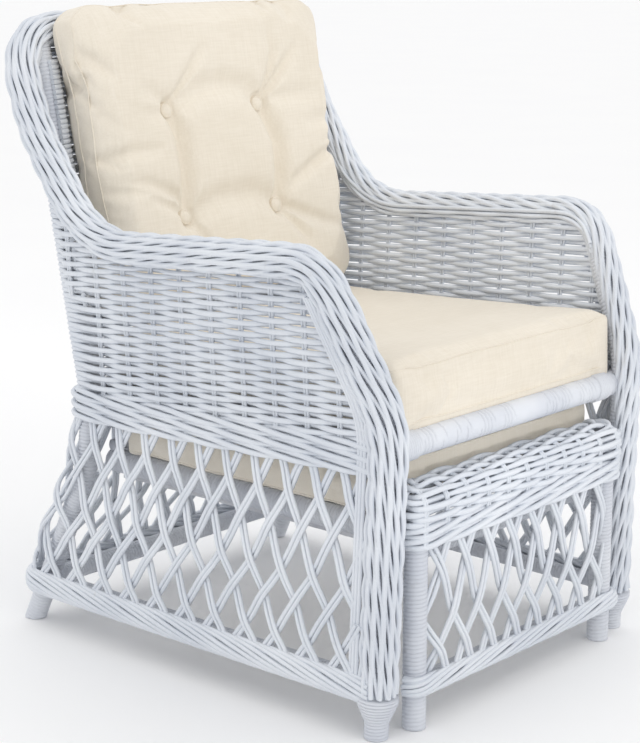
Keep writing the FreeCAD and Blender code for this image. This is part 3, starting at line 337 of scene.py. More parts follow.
def across_line(points, first):
    """Two directions across a line at each of its points, which don't spin along it."""
    ahead = np.gradient(points, axis=0)
    ahead /= np.linalg.norm(ahead, axis=1)[:, None]
    side = np.array(first, float)
    sides = []
    for d in ahead:
        side = side - d * (side @ d)
        side = side / np.linalg.norm(side)
        sides.append(side)
    sides = np.array(sides)
    return sides, np.cross(ahead, sides)


TURN_STEPS = 14
GROOVE_LEFT = 0.06


def uneven_grooves(pole, radius, pitch, groove, depths):
    """Makes each turn's groove as deep as its share of the full depth."""
    for point in pole.data.vertices:
        x, y, z = point.co
        if hypot(x, y) < radius - 0.6 * groove:
            turn = round(z / pitch - atan2(y, x) / (2 * pi)) + 2
            share = (radius - groove * depths[turn % len(depths)]) / hypot(x, y)
            point.co = (x * share, y * share, z)


def cut_level(height, up):
    """Cuts the edited piece at a height, drops what lies on the up side and closes the cut."""
    bpy.ops.mesh.select_all(action="SELECT")
    bpy.ops.mesh.bisect(
        plane_co=(0, 0, height), plane_no=(0, 0, up), use_fill=True, clear_outer=True
    )


def wound_pole(route, radius, pitch=0.0058, groove=0.0015, taper=None, open_turns=1.0):
    """A pole closely wound with flat cane.

    One turn's section is screwed up the pole, and the pole is bent along its route. Where
    open_turns is below 1, only that share of the turns has a full groove.
    """
    route = np.array(route)
    length = float(np.linalg.norm(np.diff(route, axis=0), axis=1).sum())
    turns = int(length / pitch) + 3
    section = [(0.0, groove), (0.16, 0.0002), (0.5, 0.0), (0.84, 0.0002), (1.0, groove)]
    rows = [(radius - dip, 0.0, (share - 1) * pitch) for share, dip in section]
    winding = bpy.data.meshes.new("winding")
    winding.from_pydata(rows, [(i, i + 1) for i in range(len(rows) - 1)], [])
    pole = brought_in("winding", winding)
    screw = pole.modifiers.new("winding", "SCREW")
    screw.screw_offset = pitch
    screw.iterations = turns
    screw.steps = screw.render_steps = TURN_STEPS
    screw.use_smooth_shade = True
    bpy.ops.object.modifier_apply(modifier="winding")
    mode("EDIT")
    bpy.ops.mesh.select_all(action="SELECT")
    bpy.ops.mesh.remove_doubles(threshold=0.00005)
    mode("OBJECT")
    if open_turns < 1:
        depths = [1.0 if chance.random() < open_turns else GROOVE_LEFT for _ in range(turns + 4)]
        uneven_grooves(pole, radius, pitch, groove, depths)
    mode("EDIT")
    cut_level(0.0, -1)
    cut_level(length, 1)
    bpy.ops.mesh.select_all(action="SELECT")
    bpy.ops.mesh.normals_make_consistent(inside=False)
    mode("OBJECT")
    line = bpy.data.curves.new("pole_line", "CURVE")
    line.dimensions = "3D"
    spline = line.splines.new("POLY")
    spline.points.add(len(route) - 1)
    for i, (point, place) in enumerate(zip(spline.points, route)):
        point.co = (*place, 1.0)
        point.radius = 1.0 if taper is None else taper[i]
    guide = brought_in("pole_line", line)
    bend = pole.modifiers.new("bend", "CURVE")
    bend.object = guide
    bend.deform_axis = "POS_Z"
    hold(pole)
    bpy.ops.object.modifier_apply(modifier="bend")
    bpy.data.objects.remove(guide)
    if route[0][2] < 0.001:
        mode("EDIT")
        cut_level(0.0002, -1)
        mode("OBJECT")
    return pole


# ---- lines of the frame

FRONT = -0.340016
HALF_RIM = [
    # from the middle of the back's top down to the right front foot
    (0, 0.684, 0.919), (0.302, 0.684, 0.911), (0.306, 0.634, 0.775), (0.306, 0.520, 0.612),
    (0.313, 0.078, 0.637), (0.277, -0.013, 0.430), (0.285, 0.000, 0.000),
]
RIM_BENDS = [0.150, 0.060, 0.150, 0.300, 0.075]
rim_line = rounded(
    mirrored([(x, y + FRONT, z) for x, y, z in HALF_RIM]),
    RIM_BENDS + [2.5] + RIM_BENDS[::-1], 0.006,
)
# the part of the rim that sweeps up to the back
wing = rim_line[(rim_line[:, 0] > 0.29) & (rim_line[:, 1] > 0.2) & (rim_line[:, 2] < 0.86)][::-1]

# the rear leg is bent at the waist, where it turns into the back post, and at the hock
WAIST, HOCK = 0.395, 0.262
POST_X, POST_Y = 0.2669, 0.2284
BACK_LEAN = 0.2140
SIDE_LEAN = tan(radians(3))


def near_rim(point):
    return float(np.linalg.norm(rim_line - np.array(point), axis=1).min())


def beyond_rim(point):
    """Whether a place lies in front of the wing."""
    _, y, z = point
    return z > wing[:, 2].min() and y < np.interp(z, wing[:, 2], wing[:, 1])


def side_x(z):
    return 0.2893 + (z - 0.3926) * SIDE_LEAN


def back_y(z):
    return 0.2519 + (z - WAIST) * BACK_LEAN


def post(z):
    """Where the rear leg and back post stand at a height."""
    if z > WAIST:
        return POST_X - (z - WAIST) * 0.01395, POST_Y + (z - WAIST) * BACK_LEAN
    if z > HOCK:
        return POST_X + (WAIST - z) * 0.0226, POST_Y + (WAIST - z) * 0.1053
    return 0.2699 + (HOCK - z) * 0.0382, 0.2424 + (HOCK - z) * 0.4656


# ---- braided rim

RIM_START = 0.050
RIM_STRANDS, RIM_STRAND = 24, 0.0037
WAVE = 0.084
RIM_TURN = 1.05
RIM_OUT, RIM_DIP, RIM_SWAY = 0.0227, 0.0032, 0.11
# how full the rim is at distances from the foot: knee, arm, back
FULL_AT = [0.0, 0.36, 0.44, 0.56, 0.68, 1.05, 1.20]
FULL = [1.0, 1.0, 1.08, 1.03, 0.92, 0.92, 0.97]
# how much the braid is thinned on the side towards the seat, at distances from the foot
THIN_AT = [0.0, 0.07, 0.11, 1.10, 1.30]
THIN = [0.0, 0.0, 0.60, 0.60, 0.15]
# straight strands behind each front leg: how far back and how far out they lie
LEG_STRANDS = [(0.0250, 0.0170), (0.0310, 0.0165), (0.0365, 0.0155)]
# strands under each arm's inner side: their angle below level, and which one dips first
ARM_STRANDS = [(-8, 0), (17, 1), (42, 0)]
ARM_OUT, ARM_DIP = 0.0178, 0.0014


def braided_rim():
    """Strands that run the length of the rim, turn slowly round the pole and weave in and out."""
    step = WAVE / 4
    line = even(rim_line, step)
    side, up = across_line(line, (1, 0, 0))
    start = int(np.argmax(line[:, 2] > RIM_START))
    end = len(line) - start
    middle = len(line) / 2
    from_foot = np.minimum(np.arange(len(line)), np.arange(len(line))[::-1]) * step
    full = np.interp(from_foot, FULL_AT, FULL)
    thin = np.interp(from_foot, THIN_AT, THIN)
    on_arm = np.interp(from_foot, [0.50, 0.68], [0.0, 1.0])[:, None]
    across = np.sign(line[:, 0])[:, None]
    seatward = across * (-0.75, 0, 0) + (0, 0.66, 0)
    seatward = seatward * (1 - on_arm) + (across * (-0.8, 0, 0) + (0, 0, -0.6)) * on_arm
    lines = []
    for hand in (-1, 1):
        leg = line[(line[:, 0] * hand > 0) & (from_foot > 0.075) & (from_foot < 0.62)]
        for back, out in LEG_STRANDS:
            lines.append([*(leg + (hand * out, back, 0.0)), 0.9])
    for j in range(RIM_STRANDS):
        points = []
        lag = pi * (j % 2) + chance.uniform(-0.35, 0.35)
        for i in range(start, end):
            turn = 2 * pi * (j / RIM_STRANDS + abs(i - middle) * step / RIM_TURN)
            phase = 2 * pi * i * step / WAVE + lag
            out = (RIM_OUT + RIM_DIP * cos(phase)) * full[i]
            turn += RIM_SWAY * sin(phase)
            away = cos(turn) * side[i] + sin(turn) * up[i]
            out *= 1 - thin[i] * max(0.0, away @ seatward[i])
            points.append(line[i] + out * away)
        lines.append([*points, chance.uniform(0.94, 1.08)])
    for hand in (-1, 1):
        arm = line[(line[:, 0] * hand > 0) & (from_foot > 0.60) & (from_foot < 1.22)]
        for angle, beat in ARM_STRANDS:
            a = radians(angle)
            dips = [ARM_DIP * (-1) ** (i // 2 + beat) for i in range(len(arm))]
            wave = ARM_OUT + np.array(dips)[:, None]
            lines.append([*(arm + wave * (-hand * cos(a), 0, -sin(a))), 0.95])
    return strands(lines, RIM_STRAND, steps=3)


fit(braided_rim(), "rim_braid", "woven_rattan", "chair", "rim_left", "rim_right", "rim_back")


# ---- woven sides and back

STAKE_GAP = 0.0575
LAST_STAKE = 0.180
BACK_STAKES, SIDE_STAKES = 5, 18
# half the gap between the two stakes of a pair
PAIR = 0.0023
FIRST_ROW, TOP_ROW, ROW = 0.3925, 0.893, 0.0072
WEAVE_SWING = 0.0092
# a row's turns round the back post: the angle, and how far from the post's middle
CORNER_TURNS = [(95, 0.0200), (45, 0.0222), (-5, 0.0200)]
INNER_TURNS = [(172, 0.0205), (225, 0.0250), (278, 0.0205)]


def rise(height):
    """How much the rows climb towards the front, as the arm does."""
    return 0.030 + 0.026 * min(1.0, (height - WAIST) / 0.217)


def side_place(height, y):
    z = height + rise(height) * (post(height)[1] - y)
    return side_x(z), y, z


def round_post(height, turns):
    px, py = post(height)
    places = []
    for angle, away in turns:
        a = radians(angle)
        places.append((px + away * cos(a), py + away * sin(a), height))
    return places


def wall_row(height, number):
    """The right half of one row of the weave, from the middle of the back to the front.

    Each of its points is a place and the swing away from it.
    """
    half = []
    for n in range(BACK_STAKES):
        sign = 1 if (n + number) % 2 else -1
        half.append(((n * STAKE_GAP, back_y(height), height), (0, sign * WEAVE_SWING, 0)))
    half += [(place, (0, 0, 0)) for place in round_post(height, CORNER_TURNS)]
    first = int(ceil((LAST_STAKE - post(height)[1] + 0.024) / STAKE_GAP))
    for m in range(first, SIDE_STAKES):
        sign = 1 if (m + number) % 2 else -1
        place = side_place(height, LAST_STAKE - m * STAKE_GAP)
        half.append((place, (sign * WEAVE_SWING, 0, 0)))
    return half


def cut_at_rim(half):
    """The row as far as the rim, with its end tucked into it."""
    kept = [half[0]]
    for before, after in zip(half, half[1:]):
        a, b = np.array(before[0]), np.array(after[0])
        for share in np.linspace(0.1, 1, 10):
            place = a + (b - a) * share
            tuck = 0.021 if place[2] > 0.84 else 0.015
            if near_rim(place) < tuck or beyond_rim(place):
                kept.append((tuple(place), (0, 0, 0)))
                return kept
        kept.append(after)
    return kept


def wall_weavers():
    lines = []
    for number, height in enumerate(np.arange(FIRST_ROW, TOP_ROW, ROW)):
        half = cut_at_rim(wall_row(height, number))
        if len(half) < 3:
            continue
        line = mirrored([np.array(place) + np.array(swing) for place, swing in half])
        wobble = [chance.uniform(-0.0007, 0.0007) for _ in line]
        line = [p + np.array((0, 0, w)) for p, w in zip(line, wobble)]
        lines.append([*line, chance.uniform(0.93, 1.06)])
    return lines


def inner_turns():
    """Short turns of the weave round the inner side of the back posts."""
    lines = []
    for height in np.arange(0.515, 0.868, ROW):
        px, py = post(height)
        last = (side_x(height) - 0.002, py - 0.046, height)
        turn = [(px - 0.040, back_y(height) - 0.003, height), *round_post(height, INNER_TURNS)]
        if near_rim(last) >= 0.014 and not beyond_rim(last):
            turn.append(last)
        size = chance.uniform(0.93, 1.06)
        for hand in (-1, 1):
            lines.append([*(np.array(p) * (hand, 1, 1) for p in turn), size])
    return lines


def climb(place, low):
    """A stake's points from the waist up into the rim."""
    points = []
    z = low
    while z < 0.925:
        point = place(z)
        points.append(point)
        if near_rim(point) < 0.012 and z > low + 0.03:
            return points
        z += 0.006
    return points


def three_of(points):
    return [points[0], points[len(points) // 2], points[-1]]


def wall_stakes():
    lines = []
    for hand in (-1, 1):
        for m in range(-3, 10):
            y = LAST_STAKE - m * STAKE_GAP
            low = 0.385 + 0.030 * (0.228 - y)
            while post(low)[1] - 0.020 < y:
                low += 0.005
            if near_rim((side_x(low), y, low)) < 0.02:
                continue
            for apart in (-PAIR, PAIR):
                points = climb(lambda z: (hand * side_x(z), y + apart, z), low)
                if len(points) > 6:
                    lines.append(three_of(points))
        for n in range(0 if hand > 0 else 1, BACK_STAKES):
            x = hand * n * STAKE_GAP
            for apart in (-PAIR, PAIR):
                lines.append(three_of(climb(lambda z: (x + apart, back_y(z), z), 0.385)))
    return lines


weavers = strands(wall_weavers() + inner_turns(), 0.0040, steps=4)
fit(weavers, "wall_weavers", "woven_rattan", "chair",
    "side_panel_left", "side_panel_right", "back_panel")
fit(strands(wall_stakes(), 0.0022, steps=3), "wall_stakes", "woven_rattan", "chair")


# ---- borders

def flat_rope(line, out, up, half_high, half_thick, pitch, bundles, each=1, spread=0.0):
    """A flattened rope: bundles of strands that turn slowly round a line."""
    far = np.concatenate([[0], np.cumsum(np.linalg.norm(np.diff(line, axis=0), axis=1))])
    lines = []
    for b in range(bundles):
        for e in range(each):
            lag = 2 * pi * b / bundles + (e - (each - 1) / 2) * spread
            points = []
            for i in range(len(line)):
                turn = 2 * pi * far[i] / pitch + lag
                high, thick = half_high * cos(turn), half_thick * sin(turn)
                points.append(line[i] + up[i] * high + out[i] * thick)
            lines.append([*points, chance.uniform(0.94, 1.06)])
    return lines


def skirt_loop(front, rear, back, bend):
    """A line round the sides and back, from the left front to the right front.

    Front and rear are the ends of the right side's run, and back is where the back lies.
    """
    x, _, z = rear
    half = [(0, back, z), (x, back, z), rear, front]
    return rounded(mirrored(half), [2.0, bend, 1.0, bend, 2.0], 0.014)


def outward(line):
    """The ways out of and up along a line that runs round the chair."""
    ahead = np.gradient(line, axis=0)
    out = np.stack([-ahead[:, 1], ahead[:, 0], 0 * ahead[:, 0]], axis=1)
    out /= np.linalg.norm(out, axis=1)[:, None]
    return out, np.tile([0.0, 0.0, 1.0], (len(line), 1))


waist = skirt_loop((0.2905, FRONT - 0.008, 0.3855), (0.2915, 0.1284, 0.369), 0.2565, 0.026)
out, up = outward(waist)
waist_lines = []
for level in (-0.0148, 0.0, 0.0148):
    waist_lines += flat_rope(waist + up * level, out, up, 0.0060, 0.0046, -4.3 * STAKE_GAP, 3)
fit(strands(waist_lines, 0.0041), "waist_border", "woven_rattan", "chair",
    "waist_border_left", "waist_border_right", "waist_border_back")

hem = skirt_loop((0.3015, FRONT - 0.004, 0.0705), (0.3020, 0.2316, 0.0705), 0.3650, 0.030)
out, up = outward(hem)
hem_lines = flat_rope(hem, out, up, 0.0162, 0.0066, -0.40, 4, 3, 0.49)
hem_lines += [[*(hem + up * level), 1.45] for level in (-0.0095, 0.0, 0.0095)]
fit(strands(hem_lines, 0.0036), "bottom_border", "woven_rattan", "chair",
    "bottom_border_left", "bottom_border_right", "bottom_border_back")


# ---- open lattice

ROD = 0.0032
# half the gap between the middles of a pair's rods
BESIDE = ROD * 1.16
OVER = 0.0042
STEEPER_TOP = 0.2
LATTICE_PITCH = 0.055
CORNER = 0.038
HALF_SKIRT = 0.930
SKIRT_LOW, SKIRT_HIGH = 0.091, 0.346
SKIRT_RISE = SKIRT_HIGH - SKIRT_LOW


def height_share(s):
    """How high in the field a share of a rod's run lies. The rods get steeper towards the top."""
    if not 0 < s < 1:
        return s
    full = 1 + STEEPER_TOP
    return (full - sqrt(full ** 2 - 4 * STEEPER_TOP * s)) / (2 * STEEPER_TOP)


def lattice(low, high, crossings, reach, place, inside):
    """Pairs of rods leaning both ways, each passing over and under those that it crosses.

    Low and high are the edges of the open field. The rods run on past both, into the borders.
    """
    lines = []
    count = int(reach / LATTICE_PITCH) + crossings
    level = 0.25 if crossings % 2 == 0 else 0.0
    for way in (-1, 1):
        for k in range(-count, count + 1):
            run = []
            drift = chance.uniform(-0.0016, 0.0016)
            for step in range(-1, 2 * crossings + 2):
                s = step / (2 * crossings)
                z = low + height_share(s) * (high - low)
                u = (k + way * (crossings * (s - 0.5) / 2 + level)) * LATTICE_PITCH + drift
                u += chance.uniform(-0.0012, 0.0012)
                over = way * OVER * cos(pi * (crossings * (s - 0.5) + 2 * level))
                if not 0 < s < 1:
                    over = -0.002
                if inside(u, z):
                    run.append((u, z, over))
            if len(run) < 3:
                continue
            for apart in (-BESIDE, BESIDE):
                line = []
                for u, z, over in run:
                    spot, out = place(u + apart, z)
                    line.append(np.array(spot) + np.array(out) * over)
                lines.append([*line, chance.uniform(0.95, 1.05)])
    return lines


def skirt_x(z):
    return 0.302 - 0.012 * (z - SKIRT_LOW) / SKIRT_RISE


def skirt_back_y(z):
    return 0.365 - 0.108 * (z - SKIRT_LOW) / SKIRT_RISE


def front_leg_y(z):
    return FRONT - 0.013 * z / 0.430


def skirt_place(u, z):
    """A point of the skirt and the way it faces. u runs from the back's middle to the fronts."""
    px, py = post(z)
    x, back = skirt_x(z), skirt_back_y(z)
    hand = 1 if u > 0 else -1
    wider = 1 + 0.07 * (SKIRT_HIGH - z) / SKIRT_RISE
    leg_at = HALF_SKIRT - CORNER - (py - front_leg_y(z)) / wider
    far = abs(u) - leg_at
    if far < 0:
        return (px * u / leg_at, back, z), (0, 0.92, 0.39)
    if far < CORNER:
        turn = pi / 2 * (1 - far / CORNER)
        spot = (hand * (px + (x - px) * cos(turn)), py + (back - py) * sin(turn), z)
        return spot, (hand * cos(turn), sin(turn), 0)
    return (hand * x, front_leg_y(z) + (HALF_SKIRT - abs(u)) * wider, z), (hand, 0, 0)


def under_waist(u, z):
    """Whether a rod still shows, or is tucked into the borders and the front leg."""
    ahead = min(1.0, max(0.0, abs(u) - 0.30) / 0.60)
    return abs(u) < HALF_SKIRT - 0.008 and z < 0.366 + 0.017 * ahead


rods = lattice(SKIRT_LOW, SKIRT_HIGH + 0.006, 5, HALF_SKIRT, skirt_place, under_waist)
fit(strands(rods, ROD, steps=4), "lattice_rods", "woven_rattan", "chair",
    "lattice_left", "lattice_right", "lattice_back")


# ---- wound legs and rails

ACROSS, DEEP = 0, 1
POLE = 0.0165


def middle_line(node, axis):
    """A rail's middle line along an axis, and half its height."""
    low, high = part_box(node)
    start, end = (low + high) / 2, (low + high) / 2
    start[axis], end[axis] = low[axis], high[axis]
    return straight(start, end), (high.z - low.z) / 2


def wind_rail(node, body, axis, name=None, radius=None):
    """Winds a straight rail that lies level along an axis."""
    line, half = middle_line(node, axis)
    fit(wound_pole(line, radius or half), name or "wound_" + node, "cane_wrap", body, node)


for hand, side in ((-1, "left"), (1, "right")):
    leg_line = rounded(
        [(hand * 0.2804, 0.3700, -0.012), (hand * 0.2699, 0.2424, HOCK),
         (hand * POST_X, POST_Y, WAIST), (hand * 0.2599, 0.3358, 0.897)],
        [0.150, 0.150], 0.008,
    )
    fit(wound_pole(leg_line, POLE), "wound_rear_leg_" + side, "cane_wrap", "chair",
        "rear_leg_" + side)
    foot, ankle = (hand * 0.285, FRONT, 0.0005), (hand * 0.2839, FRONT - 0.0018, 0.059)
    foot_line = straight(foot, ankle, 0.004)
    widen = 1.0 + 0.69 * np.clip((foot_line[:, 2] - 0.022) / 0.028, 0.0, 1.0)
    fit(wound_pole(foot_line, 0.0170, 0.0048, 0.0016, taper=widen), "foot_winding_" + side,
        "cane_wrap", "chair", "foot_binding_" + side)
    leg_line = straight((hand * 0.2248, -0.3567, 0.0), (hand * 0.2248, -0.3567, 0.3195))
    fit(wound_pole(leg_line, POLE), "wound_footrest_leg_" + side, "cane_wrap", "footrest",
        "footrest_leg_" + side)
    wind_rail("footrest_side_rail_" + side, "footrest", DEEP, "wound_footrest_rail_" + side, 0.0184)

rail_line, _ = middle_line("front_seat_rail", ACROSS)
fit(wound_pole(rail_line, 0.0193, 0.0078, 0.0024, open_turns=0.36),
    "wound_front_rail", "cane_wrap", "chair", "front_seat_rail")
_, rail_y, rail_z = rail_line[0]
collars = []
for hand in (-1, 1):
    collar = straight((hand * 0.2137, rail_y, rail_z), (hand * 0.2437, rail_y, rail_z))
    collars.append(wound_pole(collar, 0.0218, 0.0044, 0.0013))
fit(joined(collars), "wound_collars", "cane_wrap", "chair", "seat_rail_bindings")

left_leg = np.array([point for point in even(rim_line, 0.012)[:50] if point[2] > 0.06])
for side, turned in (("left", 1), ("right", -1)):
    fit(wound_pole(left_leg * (turned, 1, 1), 0.0167), "wound_front_leg_" + side, "cane_wrap",
        "chair")
for side in ("left", "right"):
    wind_rail("bottom_rail_" + side, "chair", DEEP)
    low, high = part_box("seat_side_rail_" + side)
    x = (low.x + high.x) / 2
    rail = wound_pole(straight((x, low.y, 0.391), (x, high.y, 0.367)), (high.x - low.x) / 2)
    fit(rail, "wound_seat_rail_" + side, "cane_wrap", "chair", "seat_side_rail_" + side)
for name in ("footrest_front_rail", "footrest_bottom_rail", "footrest_rear_rail"):
    wind_rail(name, "footrest", ACROSS)
for name in ("bottom_rail_back", "rear_seat_rail", "footrest_bar"):
    wind_rail(name, "chair", ACROSS)


# ---- footrest weaving

APRON_END, APRON_FRONT, APRON_REAR = 0.2470, -0.3772, -0.3265
APRON_TOP, APRON_NOSE = 0.3360, 0.0215
APRON_GAP = 0.046
APRON_SWING, FIRST_SWING = 0.0078, 0.0056
# distances over the apron from its rear edge: its rows, and where its stakes bend over the nose
APRON_ROWS = (
    0.001, 0.0105, 0.0200, 0.0295, 0.0380, 0.0465, 0.0550, 0.0630, 0.0710, 0.0785, 0.0850,
)
OVER_NOSE = (0.029, 0.037, 0.046, 0.055, 0.063, 0.080, 0.100, 0.118)


def apron_section(t):
    """How far in, how high and how tilted the apron is at a distance over it from its rear edge."""
    flat = APRON_REAR - APRON_FRONT - APRON_NOSE
    arc = pi / 2 * APRON_NOSE
    if t < flat:
        return APRON_NOSE + flat - t, APRON_TOP, pi / 2
    if t < flat + arc:
        a = (t - flat) / APRON_NOSE
        inset, drop = APRON_NOSE * (1 - sin(a)), APRON_NOSE * (1 - cos(a))
        return inset, APRON_TOP - drop, pi / 2 - a
    return 0.0, APRON_TOP - APRON_NOSE - (t - flat - arc), 0.0


def apron_row(t, number, swing):
    """One weaver along the apron, turning back along both ends."""
    inset, z, tilt = apron_section(t)
    up, out = sin(tilt), cos(tilt)
    end, front = APRON_END - inset, APRON_FRONT + inset
    half = []
    for k in range(5):
        sign = swing if (k + number) % 2 else -swing
        half.append((k * APRON_GAP, front - out * sign, z + up * sign))
    half.append((end, front, z))
    if APRON_REAR - front > 0.02:
        sign = swing if (5 + number) % 2 else -swing
        half.append((end + out * sign, (front + APRON_REAR) / 2, z + up * sign))
        half.append((end, APRON_REAR, z))
    return mirrored(half)


def apron_weave():
    lines = []
    for number, t in enumerate(APRON_ROWS):
        swing = APRON_SWING if number else FIRST_SWING
        lines.append([*apron_row(t, number, swing), chance.uniform(0.95, 1.08)])
    for drop in (0.012, 0.024, 0.036):
        rear = [(x, APRON_REAR + 0.002, APRON_TOP - drop) for x in np.linspace(-0.225, 0.225, 11)]
        lines.append([p + np.array((0, 0.003 * (-1) ** i, 0)) for i, p in enumerate(rear)])
    return lines


def apron_stakes():
    lines = []
    for k in range(-5, 6):
        for apart in (-PAIR, PAIR):
            x = k * APRON_GAP + apart
            line = [(x, APRON_REAR, 0.292), (x, APRON_REAR, APRON_TOP - 0.004)]
            for t in (0.004, 0.015, *OVER_NOSE):
                inset, z, _ = apron_section(t)
                line.append((x, APRON_FRONT + inset, z))
            lines.append(line)
    for hand in (-1, 1):
        for apart in (-PAIR, PAIR):
            line = []
            for t in (0.012, *OVER_NOSE):
                inset, z, _ = apron_section(t)
                line.append((hand * (APRON_END - inset), -0.350 + apart, z))
            lines.append(line)
    return lines


def apron_hem():
    """The two twisted rows along the apron's lower edge."""
    lines = []
    for z in (0.2660, 0.2805):
        half = [(0.0, APRON_FRONT, z), (APRON_END, APRON_FRONT, z), (APRON_END, APRON_REAR, z)]
        line = rounded(mirrored(half), [0.026, 1.0, 0.026], 0.010)
        out, up = outward(line)
        lines += flat_rope(line, -out, up, 0.0060, 0.0044, -5 * APRON_GAP, 3)
    return lines


fit(joined([strands(apron_weave(), 0.0040, steps=4), strands(apron_hem(), 0.0043)]),
    "apron_weavers", "woven_rattan", "footrest", "footrest_apron")
fit(strands(apron_stakes(), 0.0023, steps=3), "apron_stakes", "woven_rattan", "footrest")

FIELD_FRONT = -0.3758
FIELD_END = 0.2215
ROPE_END, ROPE_REAR, ROPE_Z = 0.2462, -0.3560, 0.0655


def footrest_place(u, z):
    """A point of the footrest's lattice, turned in to the leg at both sides."""
    turned_in = min(1.0, max(0.0, abs(u) - 0.198) / 0.016)
    x = max(-FIELD_END, min(FIELD_END, u))
    return (x, FIELD_FRONT + 0.014 * turned_in, z), (0, -1, 0)


rods = lattice(0.082, 0.256, 3, 0.21, footrest_place, lambda u, z: abs(u) < 0.232)
fit(strands(rods, ROD, steps=4), "footrest_rods", "woven_rattan", "footrest", "footrest_lattice")
rope_half = [(0.0, FIELD_FRONT, ROPE_Z), (ROPE_END, FIELD_FRONT, ROPE_Z),
             (ROPE_END, ROPE_REAR, ROPE_Z)]
rope_line = rounded(mirrored(rope_half), [0.016, 1.0, 0.016], 0.010)
out, up = outward(rope_line)
rope = flat_rope(rope_line, -out, up, 0.0115, 0.0056, -0.34, 3, 3, 0.62)
rope += [[*(rope_line + up * level), 1.5] for level in (-0.007, 0.007)]
fit(strands(rope, 0.0033), "footrest_rope", "woven_rattan", "footrest", "footrest_bottom_border")


# ---- cushions

def tilted(node, degrees):
    """A soft node's own box: its axes, leant by an angle, and its ends along them."""
    lean = radians(degrees)
    deep = np.array((0, cos(lean), sin(lean)))
    high = np.array((0, -sin(lean), cos(lean)))
    axes = np.array([(1, 0, 0), deep, high])
    places = points_of(nodes[node]) @ axes.T
    return axes, Vector(places.min(0)), Vector(places.max(0))


def round_edges(block, chosen, offset, segments):
    """Rounds those edges of a block whose run from end to end is chosen."""
    none_picked("EDGE")
    for sewn in block.data.edges:
        a, b = (block.data.vertices[i].co for i in sewn.vertices)
        sewn.select = chosen(b - a)
    mode("EDIT")
    bpy.ops.mesh.bevel(offset=offset, segments=segments, affect="EDGES")
    mode("OBJECT")


def stuffed_block(low, high, corner, edge, upright):
    """A block with rounded corners, as a cover is sewn. Its corners run along the axis upright."""
    bpy.ops.mesh.primitive_cube_add(size=1, location=(0, 0, 0))
    block = in_hand()
    size = Matrix.Diagonal((*(high - low), 1))
    block.data.transform(Matrix.Translation((low + high) / 2) @ size)
    round_edges(block, lambda run: abs(run.normalized()[upright]) > 0.9, corner, 7)
    round_edges(block, lambda run: abs(run[upright]) < 1e-6, edge, 3)
    return block


def swell(block, voxel, pressure, cap, frames=20):
    """Fills the cover: its cloth is blown up a little, and no point moves further than the cap."""
    block.data.remesh_voxel_size = voxel
    hold(block)
    bpy.ops.object.voxel_remesh()
    bpy.ops.object.shade_smooth()
    start = points_of(block)
    cloth = block.modifiers.new("filling", "CLOTH")
    cloth.settings.quality = 5
    cloth.settings.mass = 0.3
    cloth.settings.use_pressure = True
    cloth.settings.uniform_pressure_force = pressure
    cloth.settings.effector_weights.gravity = 0
    cloth.point_cache.frame_start, cloth.point_cache.frame_end = 1, frames
    for number in range(1, frames + 1):
        bpy.context.scene.frame_set(number)
    hold(block)
    bpy.ops.object.modifier_apply(modifier="filling")
    bpy.context.scene.frame_set(1)
    moved = points_of(block) - start
    far = np.linalg.norm(moved, axis=1)[:, None]
    end = start + moved * np.minimum(1.0, cap / np.maximum(far, 1e-9))
    moved_by(block, lambda _: end)
    return block


def finer(block):
    smooth = block.modifiers.new("finer", "SUBSURF")
    smooth.levels = smooth.render_levels = 1
    hold(block)
    bpy.ops.object.modifier_apply(modifier="finer")


def moved_by(block, change):
    """Moves the points of a piece by a rule that takes them all at once."""
    block.data.vertices.foreach_set("co", change(points_of(block)).ravel())
    block.data.update()


def settle(block, axes):
    """Turns a cushion from its own axes to its place."""
    moved_by(block, lambda places: places @ axes)


def surface(block):
    """The cover's surface, to measure from."""
    points = [v.co.copy() for v in block.data.vertices]
    return BVHTree.FromPolygons(points, [tuple(face.vertices) for face in block.data.polygons])


def ring(low, high, corner, across, up):
    """An outline with rounded corners, in two of a cushion's own axes."""
    middle, half = (low + high) / 2, (high - low) / 2
    points = []
    for turn in np.linspace(0, 2 * pi, 121):
        point = np.zeros(3)
        for axis, away in ((across, cos(turn)), (up, sin(turn))):
            straight_part = (half[axis] - corner) * max(-1.0, min(1.0, 1.9 * away))
            point[axis] = middle[axis] + straight_part + corner * away
        points.append(point)
    return np.array(points)


def sewn_edges(block, outlines):
    """Sewn edges: thin rolls of cloth that lie on the cover along the outlines."""
    cover = surface(block)
    lines = []
    for outline in outlines:
        laid = np.array([cover.find_nearest(Vector(point))[0] for point in outline])
        lines.append(even(laid, 0.008))
    return strands(lines, 0.0011)


def boxed_cushion(node, degrees, corner, droop, grow):
    """A flat cushion and its sewn edges. It is larger than its node by grow, as it lies loose."""
    axes, low, high = tilted(node, degrees)
    left, right, front, top = grow
    low -= Vector((left, front, 0))
    high += Vector((right, 0, top))
    inset = Vector((0.003, 0.003, 0.0))
    block = stuffed_block(low + inset, high - inset - Vector((0, 0, 0.004)), corner, 0.005, 2)
    finer(swell(block, 0.006, 3.0, 0.009))

    def rest_flat(places):
        """Flattens the underside and lets the lower front edge droop."""
        places[:, 2] = np.maximum(places[:, 2], low.z)
        ahead = np.clip((low.y + 0.06 - places[:, 1]) / 0.04, 0, 1)
        lower = np.clip((high.z - places[:, 2]) / (high.z - low.z), 0, 1)
        places[:, 2] -= droop * ahead * lower
        return places

    moved_by(block, rest_flat)
    outline = ring(low, high, corner, 0, 1)
    levels = (high.z + 0.004, low.z + 0.002)
    seams = sewn_edges(block, [outline + (0, 0, level) for level in levels])
    settle(block, axes)
    settle(seams, axes)
    return block, seams


